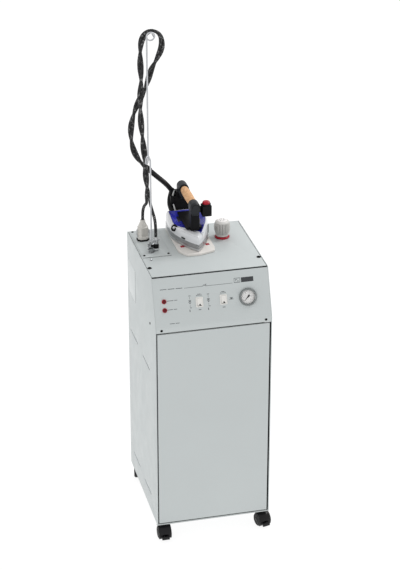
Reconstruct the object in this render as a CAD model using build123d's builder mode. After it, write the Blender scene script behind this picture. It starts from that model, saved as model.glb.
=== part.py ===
from build123d import *
import math
import os

# Steam ironing station: a boiler cabinet on casters with a steam iron, its hose and cable,
# and a spring-steel mast that carries them. Millimetres, +Z up, front towards -Y.
# Everything is laid out about the cabinet's centre line; the last section moves it so that
# the origin is the bottom centre of the whole object without its free cords.

# ---- driving dimensions ----------------------------------------------------------------
WIDTH = 360.0
DEPTH = 400.0
TOP_Z = 895.0
BASE_Z = 63.0
DOOR_TOP_GAP_Z = 736.0
SIDE_SHEET = 2.5
SHEET = 2.0
THIN_SHEET = 1.5
SEAM = 0.2
TOP_SEAM = 1.5
RUNNING = 0.05

PANEL_TOP_Y = -145.5
PANEL_BEND_Z = 752.0
PANEL_FLANGE = 30.0
PANEL_BEND_RADIUS = 40.0
TOP_FRONT_Y = -140.5

DOOR_GAP_LEFT = 3.5
DOOR_GAP_RIGHT = 5.0
DOOR_GAP_TOP = 5.0
DOOR_GAP_BOTTOM = 3.0
DOOR_DEPTH = 18.0
BASE_LIP = 4.0
HINGE_INSET_X = 6.0
HINGE_INSET_Y = 8.0
HINGE_PIN_R = 4.0
HINGE_PIN_REACH = 12.0
HINGE_BLOCK = 20.0
GASKET_GAP = 2.0
GASKET_DEPTH = 2.8
GASKET_WIDTH = 14.0
LATCH_Z = (680.0, 707.0)
LATCH_CLEAR = 0.3
LATCH_TRAVEL = 3.0

STEM_X = 157.0
STEM_Y = 168.0
STEM_R = 4.0
STEM_BOSS_R = 9.0
STEM_BOSS_H = 14.0
FLOOR_Z = 8.0
WHEEL_R = 21.5
WHEEL_WIDTH = 13.0
WHEEL_TRAIL = 18.0
PEDAL_PIVOT = (-12.0, -3.5)
AXLE_R = 3.0
WEB_HALF = 6.5
WHEEL_GAP = 0.5
GUARD_GAP = 1.4
GUARD_T = 1.8
CASTERS = {
    "front_left": (-1, -1, 0.0),
    "front_right": (1, -1, 14.0),
    "rear_left": (-1, 1, 168.0),
    "rear_right": (1, 1, 200.0),
}

PLATE = (-172.0, -85.0, -4.0, 195.0)
PLATE_T = 1.5
MAST_XY = (-139.5, 30.0)
MAST_SHIFT = -6.5
MAST_WIRE_R = 2.5
MAST_BEND_Z = 1197.0
MAST_JOIN_Z = 1213.0
MAST_SOCKET_R = 8.0
MAST_SOCKET_H = 40.0
EYE_R = 12.0
TOP_EYE_Z = 1582.0
MID_EYE_Z = 1200.0
THUMB_Z = 24.0
OUTLET_XY = (-123.0, 41.0)
PLUG_XY = (-145.0, 127.0)
PLUG_SIZE = (33.0, 30.0)
HOSE_D = 9.5
PAIR_D = 19.0
SLEEVE_D = 16.0

KNOB_XY = (98.0, 92.0)
KNOB_R = 25.0
VALVE_STEM_R = 4.0
VALVE_NECK_R = 10.0

PAD_T = 8.0
IRON_X = -3.0
IRON_TIP_Y = -19.0
IRON_REAR_Y = 184.0
IRON_HALF = 60.0
IRON_LIFT_GAP = 0.2
SOLE_T = 8.0
SKIRT_TOP = 48.0
SKIRT_WALL = 2.5
HOOD_END_Y = 86.0
SHIELD_FRONT_Y = 40.0
HANDLE_Z = 128.0
HANDLE_CAP_R = 15.5
CORK_R = 13.7
TIE_ROD_R = 4.0
CAP_FRONT_Y = (20.0, 56.0)
CAP_REAR_Y = (172.0, 213.0)
REAR_POST_Y = (186.0, 210.0)
GLAND_GAP = 0.5
SWITCH_BOX = (19.0, 48.0, 22.0, 52.0, 97.0, 129.0)
BUTTON_R = 11.5
BUTTON_TRAVEL = 3.0

GAUGE_X = 110.0
GAUGE_DROP = 84.0
BEZEL_R = 27.4
DIAL_R = 19.3
LAMP_X = -146.5
LAMP_DROPS = (72.0, 98.0)
LAMP_R = 7.0
ROCKERS = {"rocker_left": -39.5, "rocker_right": 34.5}
ROCKER_DROP = 84.0
ROCKER_SIZE = (22.0, 30.0)
ROCKER_OPEN = (15.0, 22.8)
ROCKER_TILT = 7.0
ROCKER_PIN_R = 1.5

# ---- sizes that follow -----------------------------------------------------------------
HALF_W = WIDTH / 2
HALF_D = DEPTH / 2
INNER = HALF_W - SIDE_SHEET - SEAM
PANEL_TOP_Z = TOP_Z - SHEET - SEAM
DOOR_LEFT = -HALF_W + SIDE_SHEET + DOOR_GAP_LEFT
DOOR_RIGHT = HALF_W - SIDE_SHEET - DOOR_GAP_RIGHT
DOOR_BOTTOM = BASE_Z + BASE_LIP + DOOR_GAP_BOTTOM
DOOR_TOP = DOOR_TOP_GAP_Z - DOOR_GAP_TOP
DOOR_BACK_Y = -HALF_D + DOOR_DEPTH
HINGE_XY = (DOOR_RIGHT - HINGE_INSET_X, -HALF_D + HINGE_INSET_Y)
GASKET_Y = DOOR_BACK_Y + GASKET_GAP
PLATE_TOP = TOP_Z + PLATE_T
PAD_TOP = TOP_Z + PAD_T
IRON_Z = PAD_TOP + IRON_LIFT_GAP
slope_run = math.hypot(-HALF_D - PANEL_TOP_Y, PANEL_TOP_Z - PANEL_BEND_Z)
slope_y = (-HALF_D - PANEL_TOP_Y) / slope_run
slope_z = (PANEL_BEND_Z - PANEL_TOP_Z) / slope_run
SLOPE = Plane(origin=(0, PANEL_TOP_Y, PANEL_TOP_Z), x_dir=(1, 0, 0), z_dir=(0, slope_z, -slope_y))

parts = {}


def keep(name, part):
    part.label = name
    parts[name] = part


def fill(x0, x1, y0, y1, z0, z1, mode=Mode.ADD):
    """A box between two corners of the current part."""
    with Locations(((x0 + x1) / 2, (y0 + y1) / 2, (z0 + z1) / 2)):
        Box(x1 - x0, y1 - y0, z1 - z0, mode=mode)


def post(x, y, z0, z1, radius, mode=Mode.ADD):
    """An upright cylinder of the current part."""
    with Locations((x, y, (z0 + z1) / 2)):
        Cylinder(radius, z1 - z0, mode=mode)


# ---- cabinet sheet metal ---------------------------------------------------------------
def side_outline():
    """The side panel's profile, whose front edge follows the control panel."""
    top_front_y = PANEL_TOP_Y - slope_y / slope_z * (PANEL_TOP_Z - TOP_Z)
    with BuildSketch() as outline:
        with BuildLine():
            Polyline(
                (HALF_D, BASE_Z),
                (HALF_D, TOP_Z),
                (top_front_y, TOP_Z),
                (-HALF_D, PANEL_BEND_Z),
                (-HALF_D, BASE_Z),
                close=True,
            )
        make_face()
        bend = outline.vertices().sort_by_distance((-HALF_D, PANEL_BEND_Z, 0))[0]
        fillet(bend, radius=PANEL_BEND_RADIUS)
    return outline.sketch


LOUVRES = (
    (60.0, 168.0, 567.0),
    (-113.0, -13.0, 567.0),
    (52.0, 149.0, 126.0),
    (-111.0, -18.0, 122.0),
)
LOUVRE_H = 4.0

for name, inner_x in (("left_side_panel", -HALF_W), ("right_side_panel", HALF_W - SIDE_SHEET)):
    with BuildPart() as side_panel:
        with BuildSketch(Plane.YZ.offset(inner_x)):
            add(side_outline())
        extrude(amount=SIDE_SHEET)
        for y0, y1, z in LOUVRES:
            fill(inner_x - 1, inner_x + SIDE_SHEET + 1, y0, y1, z, z + LOUVRE_H, mode=Mode.SUBTRACT)
    keep(name, side_panel.part)

with BuildPart() as base_tray:
    fill(-INNER, INNER, -HALF_D, HALF_D - SHEET - SEAM, BASE_Z, BASE_Z + SHEET)
    fill(-INNER, INNER, -HALF_D, -HALF_D + SHEET, BASE_Z, BASE_Z + BASE_LIP)
    wall_top = BASE_Z + 30
    rear_y = HALF_D - SHEET - SEAM
    fill(-INNER, INNER, rear_y - SHEET, rear_y, BASE_Z, wall_top)
    for x0 in (-INNER, INNER - SHEET):
        fill(x0, x0 + SHEET, DOOR_BACK_Y, rear_y, BASE_Z, wall_top)
    for side, end, turn in CASTERS.values():
        x, y = side * STEM_X, end * STEM_Y
        post(x, y, BASE_Z, BASE_Z + STEM_BOSS_H, STEM_BOSS_R)
    for side, end, turn in CASTERS.values():
        x, y = side * STEM_X, end * STEM_Y
        post(x, y, BASE_Z - 1, BASE_Z + STEM_BOSS_H + 1, STEM_R + RUNNING, mode=Mode.SUBTRACT)
keep("base_tray", base_tray.part)

GLAND = (-110.0, 118.0, 8.0)
INLET = (-40.0, 118.0, 9.5)
DRAIN = (70.0, 118.0, 8.0)
FITTING_REACH = 22.0

with BuildPart() as rear_panel:
    fill(-INNER, INNER, HALF_D - SHEET, HALF_D, BASE_Z, PANEL_TOP_Z)
    for x, z, radius in (GLAND, INLET, DRAIN):
        with Locations(Plane(origin=(x, HALF_D, z), z_dir=(0, 1, 0))):
            Cylinder(radius + 3.1, 3 * SHEET, mode=Mode.SUBTRACT)
    for row in range(6):
        z = 560 + 26 * row
        fill(-90, 90, HALF_D - 2 * SHEET, HALF_D + 1, z, z + LOUVRE_H, mode=Mode.SUBTRACT)
keep("rear_panel", rear_panel.part)

TOP_HALF = HALF_W - SIDE_SHEET - TOP_SEAM
with BuildPart() as top_panel:
    fill(-TOP_HALF, TOP_HALF, TOP_FRONT_Y, HALF_D, TOP_Z - SHEET, TOP_Z)
    for x0 in (-TOP_HALF, TOP_HALF - SHEET):
        fill(x0, x0 + SHEET, -100, HALF_D - 10, TOP_Z - 15, TOP_Z)
    fill(PLATE[0] + 14, PLATE[1] - 14, PLATE[2] + 18, PLATE[3] - 14, TOP_Z - 5, TOP_Z + 1, mode=Mode.SUBTRACT)
    post(*KNOB_XY, TOP_Z - 5, TOP_Z + 1, VALVE_NECK_R + 1, mode=Mode.SUBTRACT)
keep("top_panel", top_panel.part)

with BuildPart() as connection_plate:
    fill(*PLATE, TOP_Z, PLATE_TOP)
    post(*OUTLET_XY, TOP_Z - 1, PLATE_TOP + 1, 7, mode=Mode.SUBTRACT)
keep("connection_plate", connection_plate.part)

with BuildPart() as control_panel:
    with BuildSketch(Plane.YZ.offset(-INNER)):
        with BuildLine():
            FilletPolyline(
                (PANEL_TOP_Y + PANEL_FLANGE, PANEL_TOP_Z),
                (PANEL_TOP_Y, PANEL_TOP_Z),
                (-HALF_D, PANEL_BEND_Z),
                (-HALF_D, DOOR_TOP_GAP_Z),
                radius=(5, 15),
            )
            offset(amount=SHEET, side=Side.LEFT)
        make_face()
    extrude(amount=2 * INNER)
    for x0 in (-INNER, INNER - 12):
        fill(x0, x0 + 12, PANEL_TOP_Y + 2, 0, PANEL_TOP_Z - 9, PANEL_TOP_Z + 1, mode=Mode.SUBTRACT)
    with BuildSketch(SLOPE):
        with Locations(*[(LAMP_X, -drop) for drop in LAMP_DROPS]):
            Circle(LAMP_R - 1)
        with Locations((GAUGE_X, -GAUGE_DROP)):
            Circle(BEZEL_R - 3)
        with Locations(*[(x, -ROCKER_DROP) for x in ROCKERS.values()]):
            Rectangle(ROCKER_SIZE[0] - 2.4, ROCKER_SIZE[1] - 2.4)
    extrude(amount=2 * SHEET, both=True, mode=Mode.SUBTRACT)
keep("control_panel", control_panel.part)

# ---- door, its pins, latch and seal ----------------------------------------------------
with BuildPart() as door:
    fill(DOOR_LEFT, DOOR_RIGHT, -HALF_D, DOOR_BACK_Y, DOOR_BOTTOM, DOOR_TOP)
    fill(
        DOOR_LEFT + THIN_SHEET,
        DOOR_RIGHT - THIN_SHEET,
        -HALF_D + THIN_SHEET,
        DOOR_BACK_Y + 1,
        DOOR_BOTTOM + THIN_SHEET,
        DOOR_TOP - THIN_SHEET,
        mode=Mode.SUBTRACT,
    )
    block_left = DOOR_RIGHT - HINGE_BLOCK
    fill(block_left, DOOR_RIGHT, -HALF_D, DOOR_BACK_Y, DOOR_BOTTOM, DOOR_BOTTOM + HINGE_BLOCK)
    fill(block_left, DOOR_RIGHT, -HALF_D, DOOR_BACK_Y, DOOR_TOP - HINGE_BLOCK, DOOR_TOP)
    reach = HINGE_PIN_REACH + 1
    post(*HINGE_XY, DOOR_BOTTOM - 1, DOOR_BOTTOM + reach, HINGE_PIN_R + RUNNING, mode=Mode.SUBTRACT)
    post(*HINGE_XY, DOOR_TOP - reach, DOOR_TOP + 1, HINGE_PIN_R + RUNNING, mode=Mode.SUBTRACT)
    fill(DOOR_LEFT, DOOR_LEFT + 24, -HALF_D, DOOR_BACK_Y, LATCH_Z[0] - 8, LATCH_Z[1] + 8)
    fill(
        DOOR_LEFT - 1,
        DOOR_LEFT + 16,
        -HALF_D + 4 - LATCH_CLEAR,
        DOOR_BACK_Y - 2 + LATCH_CLEAR,
        LATCH_Z[0] - LATCH_CLEAR,
        LATCH_Z[1] + LATCH_CLEAR,
        mode=Mode.SUBTRACT,
    )
keep("door", door.part)

with BuildPart() as door_latch:
    latch_left = DOOR_LEFT - DOOR_GAP_LEFT + 0.6
    fill(latch_left, DOOR_LEFT + 12, -HALF_D + 4, DOOR_BACK_Y - 2, *LATCH_Z)
    latch_edges = door_latch.edges().filter_by(Axis.Z).group_by(Axis.X)[0]
    fillet(latch_edges, radius=1.2)
keep("door_latch", door_latch.part)

with BuildPart() as hinge_pins:
    post(*HINGE_XY, BASE_Z + SHEET, DOOR_BOTTOM + HINGE_PIN_REACH, HINGE_PIN_R)
    bracket_z = DOOR_TOP + 2.5
    fill(HINGE_XY[0] - 10, INNER, -HALF_D + SHEET + 0.5, DOOR_BACK_Y - 1, bracket_z, bracket_z + 8)
    post(*HINGE_XY, DOOR_TOP - HINGE_PIN_REACH, bracket_z + 4, HINGE_PIN_R)
keep("hinge_pins", hinge_pins.part)

with BuildPart() as door_gasket:
    bottom = BASE_Z + SHEET + SEAM
    top = DOOR_TOP_GAP_Z + 2
    fill(-INNER + SHEET + SEAM, INNER - SHEET - SEAM, GASKET_Y, GASKET_Y + GASKET_DEPTH, bottom, top)
    fill(
        -INNER + GASKET_WIDTH,
        INNER - GASKET_WIDTH,
        GASKET_Y - 1,
        GASKET_Y + GASKET_DEPTH + 1,
        bottom + GASKET_WIDTH,
        top - GASKET_WIDTH,
        mode=Mode.SUBTRACT,
    )
keep("door_gasket", door_gasket.part)

# ---- inside the cabinet ----------------------------------------------------------------
BOILER_XY = (75.0, 60.0)
BOILER_R = 84.0
BOILER_Z = (120.0, 430.0)
BOILER_WALL = 3.0
TANK = (-168.0, -22.0, -150.0, 70.0, 80.0, 420.0)

def boiler_shape(inset):
    """The boiler's rounded drum, smaller all round by an inset."""
    low, high, radius = BOILER_Z[0] + inset, BOILER_Z[1] - inset, BOILER_R - inset
    with BuildPart() as drum:
        post(*BOILER_XY, low, high, radius)
        fillet(drum.edges().filter_by(GeomType.CIRCLE), radius=24 - inset)
    return drum.part


with BuildPart() as boiler_tank:
    add(boiler_shape(0))
    add(boiler_shape(BOILER_WALL), mode=Mode.SUBTRACT)
    for angle in (45, 135, 225, 315):
        leg_x = BOILER_XY[0] + (BOILER_R - 26) * math.cos(math.radians(angle))
        leg_y = BOILER_XY[1] + (BOILER_R - 26) * math.sin(math.radians(angle))
        post(leg_x, leg_y, BASE_Z + SHEET, BOILER_Z[0] + 2, 6)
    post(*BOILER_XY, BOILER_Z[0] - 1, BOILER_Z[0] + BOILER_WALL + 1, 24, mode=Mode.SUBTRACT)
keep("boiler_tank", boiler_tank.part)

with BuildPart() as heating_element:
    post(*BOILER_XY, BOILER_Z[0] - 6, BOILER_Z[0], 34)
    post(*BOILER_XY, BOILER_Z[0] - 30, BOILER_Z[0] - 6, 14)
    post(*BOILER_XY, BOILER_Z[0], BOILER_Z[0] + BOILER_WALL, 23.5)
    for offset_x in (-14.0, 0.0, 14.0):
        with BuildLine(Plane(origin=(BOILER_XY[0] + offset_x, BOILER_XY[1], 0), x_dir=(0, 1, 0), z_dir=(1, 0, 0))):
            FilletPolyline(
                (-9, BOILER_Z[0] + 1),
                (-9, BOILER_Z[0] + 220),
                (9, BOILER_Z[0] + 220),
                (9, BOILER_Z[0] + 1),
                radius=8.5,
            )
        with BuildSketch(Plane(origin=(BOILER_XY[0] + offset_x, BOILER_XY[1] - 9, BOILER_Z[0] + 1))):
            Circle(3.5)
        sweep()
keep("heating_element", heating_element.part)

with BuildPart() as water_tank:
    fill(*TANK)
    fill(TANK[0] + 3, TANK[1] - 3, TANK[2] + 3, TANK[3] - 3, TANK[4] + 3, TANK[5] + 1, mode=Mode.SUBTRACT)
    fillet(water_tank.edges().filter_by(Axis.Z), radius=2.5)
keep("water_tank", water_tank.part)

PUMP_XY = (-110.0, 130.0)
with BuildPart() as water_pump:
    fill(PUMP_XY[0] - 30, PUMP_XY[0] + 30, PUMP_XY[1] - 22, PUMP_XY[1] + 22, BASE_Z + SHEET, BASE_Z + SHEET + 4)
    with Locations(Plane(origin=(PUMP_XY[0], PUMP_XY[1], BASE_Z + SHEET + 26), z_dir=(1, 0, 0))):
        Cylinder(22.5, 58)
    with Locations(Plane(origin=(PUMP_XY[0] + 38, PUMP_XY[1], BASE_Z + SHEET + 26), z_dir=(1, 0, 0))):
        Cylinder(12, 20)
    post(PUMP_XY[0] + 40, PUMP_XY[1], BASE_Z + SHEET + 30, BASE_Z + SHEET + 48, 6)
keep("water_pump", water_pump.part)

SOLENOID_Z = 640.0
with BuildPart() as solenoid_valve:
    x, y = OUTLET_XY
    fill(x - 14, x + 14, y - 14, y + 14, SOLENOID_Z, SOLENOID_Z + 34)
    fill(x + 14, x + 62, y - 16, y + 16, SOLENOID_Z + 2, SOLENOID_Z + 32)
    with Locations(Plane(origin=(x + 66, y, SOLENOID_Z + 17), z_dir=(1, 0, 0))):
        Cylinder(8, 8)
keep("solenoid_valve", solenoid_valve.part)

PIPE_R = 5.0


def pipe(points, bend):
    """A plain round pipe through points, with one bend radius."""
    with BuildPart() as run:
        with BuildLine() as route:
            FilletPolyline(*points, radius=bend)
        start = route.line @ 0
        with BuildSketch(Plane(origin=start, z_dir=route.line % 0)):
            Circle(PIPE_R)
        sweep()
    return run.part


x, y = OUTLET_XY
boiler_top = (BOILER_XY[0], BOILER_XY[1], BOILER_Z[1])
steam_low = pipe([boiler_top, (BOILER_XY[0], BOILER_XY[1], 520), (x, y, 560), (x, y, SOLENOID_Z)], 24)
pump_top = BASE_Z + SHEET + 48
feed = pipe(
    [
        (PUMP_XY[0] + 40, PUMP_XY[1], pump_top),
        (PUMP_XY[0] + 40, PUMP_XY[1], 470),
        (BOILER_XY[0] - 40, BOILER_XY[1], 480),
        (BOILER_XY[0] - 40, BOILER_XY[1], BOILER_Z[1]),
    ],
    20,
)
valve_feed = pipe(
    [
        (BOILER_XY[0] + 36, BOILER_XY[1], BOILER_Z[1]),
        (BOILER_XY[0] + 36, BOILER_XY[1], 700),
        (KNOB_XY[0], KNOB_XY[1], 760),
        (KNOB_XY[0], KNOB_XY[1], TOP_Z - 60),
    ],
    30,
)
with BuildPart() as steam_pipes:
    add(steam_low)
    post(x, y, SOLENOID_Z + 34, PLATE_TOP - 0.1, PIPE_R)
    add(feed)
    add(valve_feed)
keep("steam_pipes", steam_pipes.part)

with BuildPart() as steam_valve:
    kx, ky = KNOB_XY
    fill(kx - 16, kx + 16, ky - 16, ky + 16, TOP_Z - 60, TOP_Z - 16)
    post(kx, ky, TOP_Z - 17, TOP_Z + 3, VALVE_NECK_R)
    post(kx, ky, TOP_Z + 2, TOP_Z + 36, VALVE_STEM_R)
keep("steam_valve", steam_valve.part)

# ---- fittings on the rear panel --------------------------------------------------------
with BuildPart() as rear_fittings:
    for x, z, radius in (GLAND, INLET, DRAIN):
        with Locations(Plane(origin=(x, HALF_D + 4, z), z_dir=(0, 1, 0))):
            Cylinder(radius + 5, 8 - SEAM)
        with Locations(Plane(origin=(x, HALF_D, z), z_dir=(0, 1, 0))):
            Cylinder(radius, 2 * FITTING_REACH)
    for (x, z, radius), bore in zip((GLAND, DRAIN), (5.0, 6.0)):
        with Locations(Plane(origin=(x, HALF_D, z), z_dir=(0, 1, 0))):
            Cylinder(bore, 2 * FITTING_REACH + 2, mode=Mode.SUBTRACT)
keep("rear_fittings", rear_fittings.part)

# ---- control panel's instruments -------------------------------------------------------
def on_slope(x, drop, height=0.0):
    """A plane on the sloping panel, facing out, at a place and a height above it."""
    return Plane(origin=SLOPE.from_local_coords((x, -drop, height)), x_dir=(1, 0, 0), z_dir=SLOPE.z_dir)


with BuildPart() as gauge_case:
    with BuildSketch(on_slope(GAUGE_X, GAUGE_DROP)):
        Circle(BEZEL_R)
    extrude(amount=5)
    with BuildSketch(on_slope(GAUGE_X, GAUGE_DROP)):
        Circle(BEZEL_R - 3.2)
    extrude(amount=-32)
    rim = gauge_case.edges().filter_by(GeomType.CIRCLE).group_by(SLOPE.location.z_axis)[-1]
    chamfer(rim, length=1.6)
    with BuildSketch(on_slope(GAUGE_X, GAUGE_DROP)):
        Circle(DIAL_R)
    extrude(amount=8, both=True, mode=Mode.SUBTRACT)
keep("gauge_case", gauge_case.part)

DIAL_DEPTH = 1.5
NEEDLE_SHAFT_R = 1.5
with BuildPart() as gauge_dial:
    with BuildSketch(on_slope(GAUGE_X, GAUGE_DROP, -DIAL_DEPTH)):
        Circle(DIAL_R - 0.1)
    extrude(amount=1)
    with BuildSketch(on_slope(GAUGE_X, GAUGE_DROP, -DIAL_DEPTH)):
        Circle(NEEDLE_SHAFT_R)
    extrude(amount=3.6)
keep("gauge_dial", gauge_dial.part)

with BuildPart() as gauge_needle:
    face = on_slope(GAUGE_X, GAUGE_DROP, 0.2)
    needle_dir = (face.x_dir + face.y_dir).normalized() * -1
    needle_plane = Plane(origin=face.origin, x_dir=needle_dir, z_dir=face.z_dir)
    with BuildSketch(needle_plane):
        Circle(3)
        with Locations((4.5, 0)):
            Rectangle(22, 1.6)
        Circle(NEEDLE_SHAFT_R + RUNNING, mode=Mode.SUBTRACT)
    extrude(amount=1.2)
keep("gauge_needle", gauge_needle.part)

with BuildPart() as indicator_lamps:
    for drop in LAMP_DROPS:
        with BuildSketch(on_slope(LAMP_X, drop)):
            Circle(LAMP_R)
        extrude(amount=2.5)
        with BuildSketch(on_slope(LAMP_X, drop)):
            Circle(LAMP_R - 1.2)
        extrude(amount=-18)
keep("indicator_lamps", indicator_lamps.part)

ROCKER_PIVOT = 3.0
with BuildPart() as switch_frames:
    for x in ROCKERS.values():
        with BuildSketch(on_slope(x, ROCKER_DROP)):
            RectangleRounded(*ROCKER_SIZE, 1.5)
        extrude(amount=2)
        with BuildSketch(on_slope(x, ROCKER_DROP)):
            Rectangle(ROCKER_SIZE[0] - 2.8, ROCKER_SIZE[1] - 2.8)
        extrude(amount=-22)
        with BuildSketch(on_slope(x, ROCKER_DROP, -14)):
            Rectangle(*ROCKER_OPEN)
        extrude(amount=20, mode=Mode.SUBTRACT)
        with Locations(Plane(origin=SLOPE.from_local_coords((x, -ROCKER_DROP, -ROCKER_PIVOT)), z_dir=(1, 0, 0))):
            Cylinder(ROCKER_PIN_R + RUNNING, ROCKER_OPEN[0] + 2.4, mode=Mode.SUBTRACT)
keep("switch_frames", switch_frames.part)

for name, x in ROCKERS.items():
    pivot = SLOPE.from_local_coords((x, -ROCKER_DROP, -ROCKER_PIVOT))
    tilted = Plane(origin=pivot, x_dir=(1, 0, 0), z_dir=SLOPE.z_dir).rotated((-ROCKER_TILT, 0, 0))
    across = Plane(origin=pivot, x_dir=tilted.y_dir, z_dir=(1, 0, 0))
    with BuildPart() as rocker:
        with BuildSketch(across):
            with BuildLine():
                Polyline((-10.6, 0), (-10.6, 7.6), (0, 6.2), (10.6, 7.6), (10.6, 0), (0, -6), close=True)
            make_face()
        extrude(amount=ROCKER_OPEN[0] / 2 - 0.3, both=True)
        with BuildSketch(across):
            Circle(ROCKER_PIN_R)
        extrude(amount=ROCKER_OPEN[0] / 2 + 1, both=True)
    keep(name, rocker.part)

# ---- screws ----------------------------------------------------------------------------
def button_heads(places, head_r, head_h):
    """Domed screw heads, one on each plane."""
    with BuildPart() as heads:
        for place in places:
            with BuildSketch(place):
                Circle(head_r)
            extrude(amount=head_h, taper=25)
    return heads.part


top_places = [Plane(origin=(side * 169, -78, TOP_Z)) for side in (-1, 1)]
keep("top_screws", button_heads(top_places, 6.2, 2.4))

PLATE_SCREWS = ((-166, 9), (-91, 9), (-165, 188), (-91, 188))
small_places = [Plane(origin=(sx, sy, PLATE_TOP)) for sx, sy in PLATE_SCREWS]
small_places += [Plane(origin=(side * 161, -HALF_D, 744), z_dir=(0, -1, 0)) for side in (-1, 1)]
small_places += [Plane(origin=(side * HALF_W, -128, 737), z_dir=(side, 0, 0)) for side in (-1, 1)]
keep("small_screws", button_heads(small_places, 3.4, 1.6))

# ---- casters ---------------------------------------------------------------------------
for name, (side, end, turn) in CASTERS.items():
    heading = math.radians(turn)
    stem = Plane(
        origin=(side * STEM_X, end * STEM_Y, 0),
        x_dir=(math.cos(heading), math.sin(heading), 0),
        z_dir=(0, 0, 1),
    )
    wheel_plane = Plane(
        origin=stem.from_local_coords((0, -WHEEL_TRAIL, FLOOR_Z + WHEEL_R)),
        x_dir=stem.y_dir,
        z_dir=stem.x_dir,
    )
    braked = end < 0
    guard_in = WHEEL_R + GUARD_GAP
    guard_out = guard_in + GUARD_T
    guard_half = WEB_HALF + WHEEL_GAP + WHEEL_WIDTH
    with BuildPart() as hood:
        with BuildSketch(wheel_plane):
            Circle(WHEEL_R - 7)
            with Locations((WHEEL_TRAIL - 4, 15.5)):
                Rectangle(22, 26)
        extrude(amount=WEB_HALF, both=True)
        with BuildSketch(wheel_plane):
            Circle(guard_out)
            Circle(guard_in, mode=Mode.SUBTRACT)
            with Locations((0, -40)):
                Rectangle(80, 54, mode=Mode.SUBTRACT)
            with Locations((30, 0)):
                Rectangle(30, 60, mode=Mode.SUBTRACT)
        extrude(amount=guard_half, both=True)
        with BuildSketch(stem.offset(BASE_Z - 12)):
            Circle(10)
        extrude(amount=11)
        with BuildSketch(stem.offset(BASE_Z - 2)):
            Circle(7)
        extrude(amount=2 - SEAM)
        with BuildSketch(stem.offset(BASE_Z - 2)):
            Circle(STEM_R)
        extrude(amount=STEM_BOSS_H)
        with BuildSketch(wheel_plane):
            Circle(AXLE_R)
        extrude(amount=guard_half - 3, both=True)
        if braked:
            with BuildSketch(wheel_plane):
                with Locations((-16.75, -5.5)):
                    Rectangle(18.5, 16)
            extrude(amount=WEB_HALF - 2, both=True, mode=Mode.SUBTRACT)
            with BuildSketch(wheel_plane):
                with Locations(PEDAL_PIVOT):
                    Circle(ROCKER_PIN_R)
            extrude(amount=WEB_HALF, both=True)
    keep("caster_hood_" + name, hood.part)

    with BuildPart() as wheels:
        for facing in (-1, 1):
            inner_face = wheel_plane.offset(facing * (WEB_HALF + WHEEL_GAP))
            with BuildSketch(inner_face):
                Circle(WHEEL_R)
                Circle(AXLE_R + RUNNING, mode=Mode.SUBTRACT)
            extrude(amount=facing * WHEEL_WIDTH)
        outer_rims = wheels.edges().filter_by(GeomType.CIRCLE).filter_by(lambda e: e.radius > WHEEL_R - 0.1)
        far = [e for e in outer_rims if abs(wheel_plane.to_local_coords(e.arc_center).Z) > WHEEL_WIDTH]
        fillet(far, radius=8)
    keep("caster_wheels_" + name, wheels.part)

    if braked:
        with BuildPart() as pedal:
            with BuildSketch(wheel_plane):
                with Locations((-20.5, -3.5)):
                    Rectangle(17, 6)
                with Locations(PEDAL_PIVOT):
                    Circle(3)
                    Circle(ROCKER_PIN_R + RUNNING, mode=Mode.SUBTRACT)
            extrude(amount=WEB_HALF - 2.3, both=True)
            with BuildSketch(wheel_plane):
                with Locations((-30.5, -6)):
                    Rectangle(5, 11)
            extrude(amount=12, both=True)
        keep("brake_pedal_" + name.split("_")[1], pedal.part)

# ---- connections on the plate ----------------------------------------------------------
with BuildPart() as mast_socket:
    post(*MAST_XY, PLATE_TOP, PLATE_TOP + MAST_SOCKET_H, MAST_SOCKET_R)
    post(*MAST_XY, PLATE_TOP + 4, PLATE_TOP + MAST_SOCKET_H + 1, MAST_WIRE_R + RUNNING, mode=Mode.SUBTRACT)
    thumb = Plane(origin=(*MAST_XY, PLATE_TOP + THUMB_Z), z_dir=(-1, -1, 0))
    with BuildSketch(thumb):
        Circle(MAST_WIRE_R + RUNNING)
    extrude(amount=MAST_SOCKET_R + 1, mode=Mode.SUBTRACT)
keep("mast_socket", mast_socket.part)

with BuildPart() as mast_thumbscrew:
    with BuildSketch(thumb.offset(MAST_WIRE_R + 0.3)):
        Circle(MAST_WIRE_R)
    extrude(amount=11)
    with BuildSketch(thumb.offset(MAST_SOCKET_R + 1)):
        Circle(4.5)
    extrude(amount=6)
    with BuildSketch(thumb.offset(MAST_SOCKET_R + 2)):
        Rectangle(22, 3)
    extrude(amount=9)
keep("mast_thumbscrew", mast_thumbscrew.part)

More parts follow.
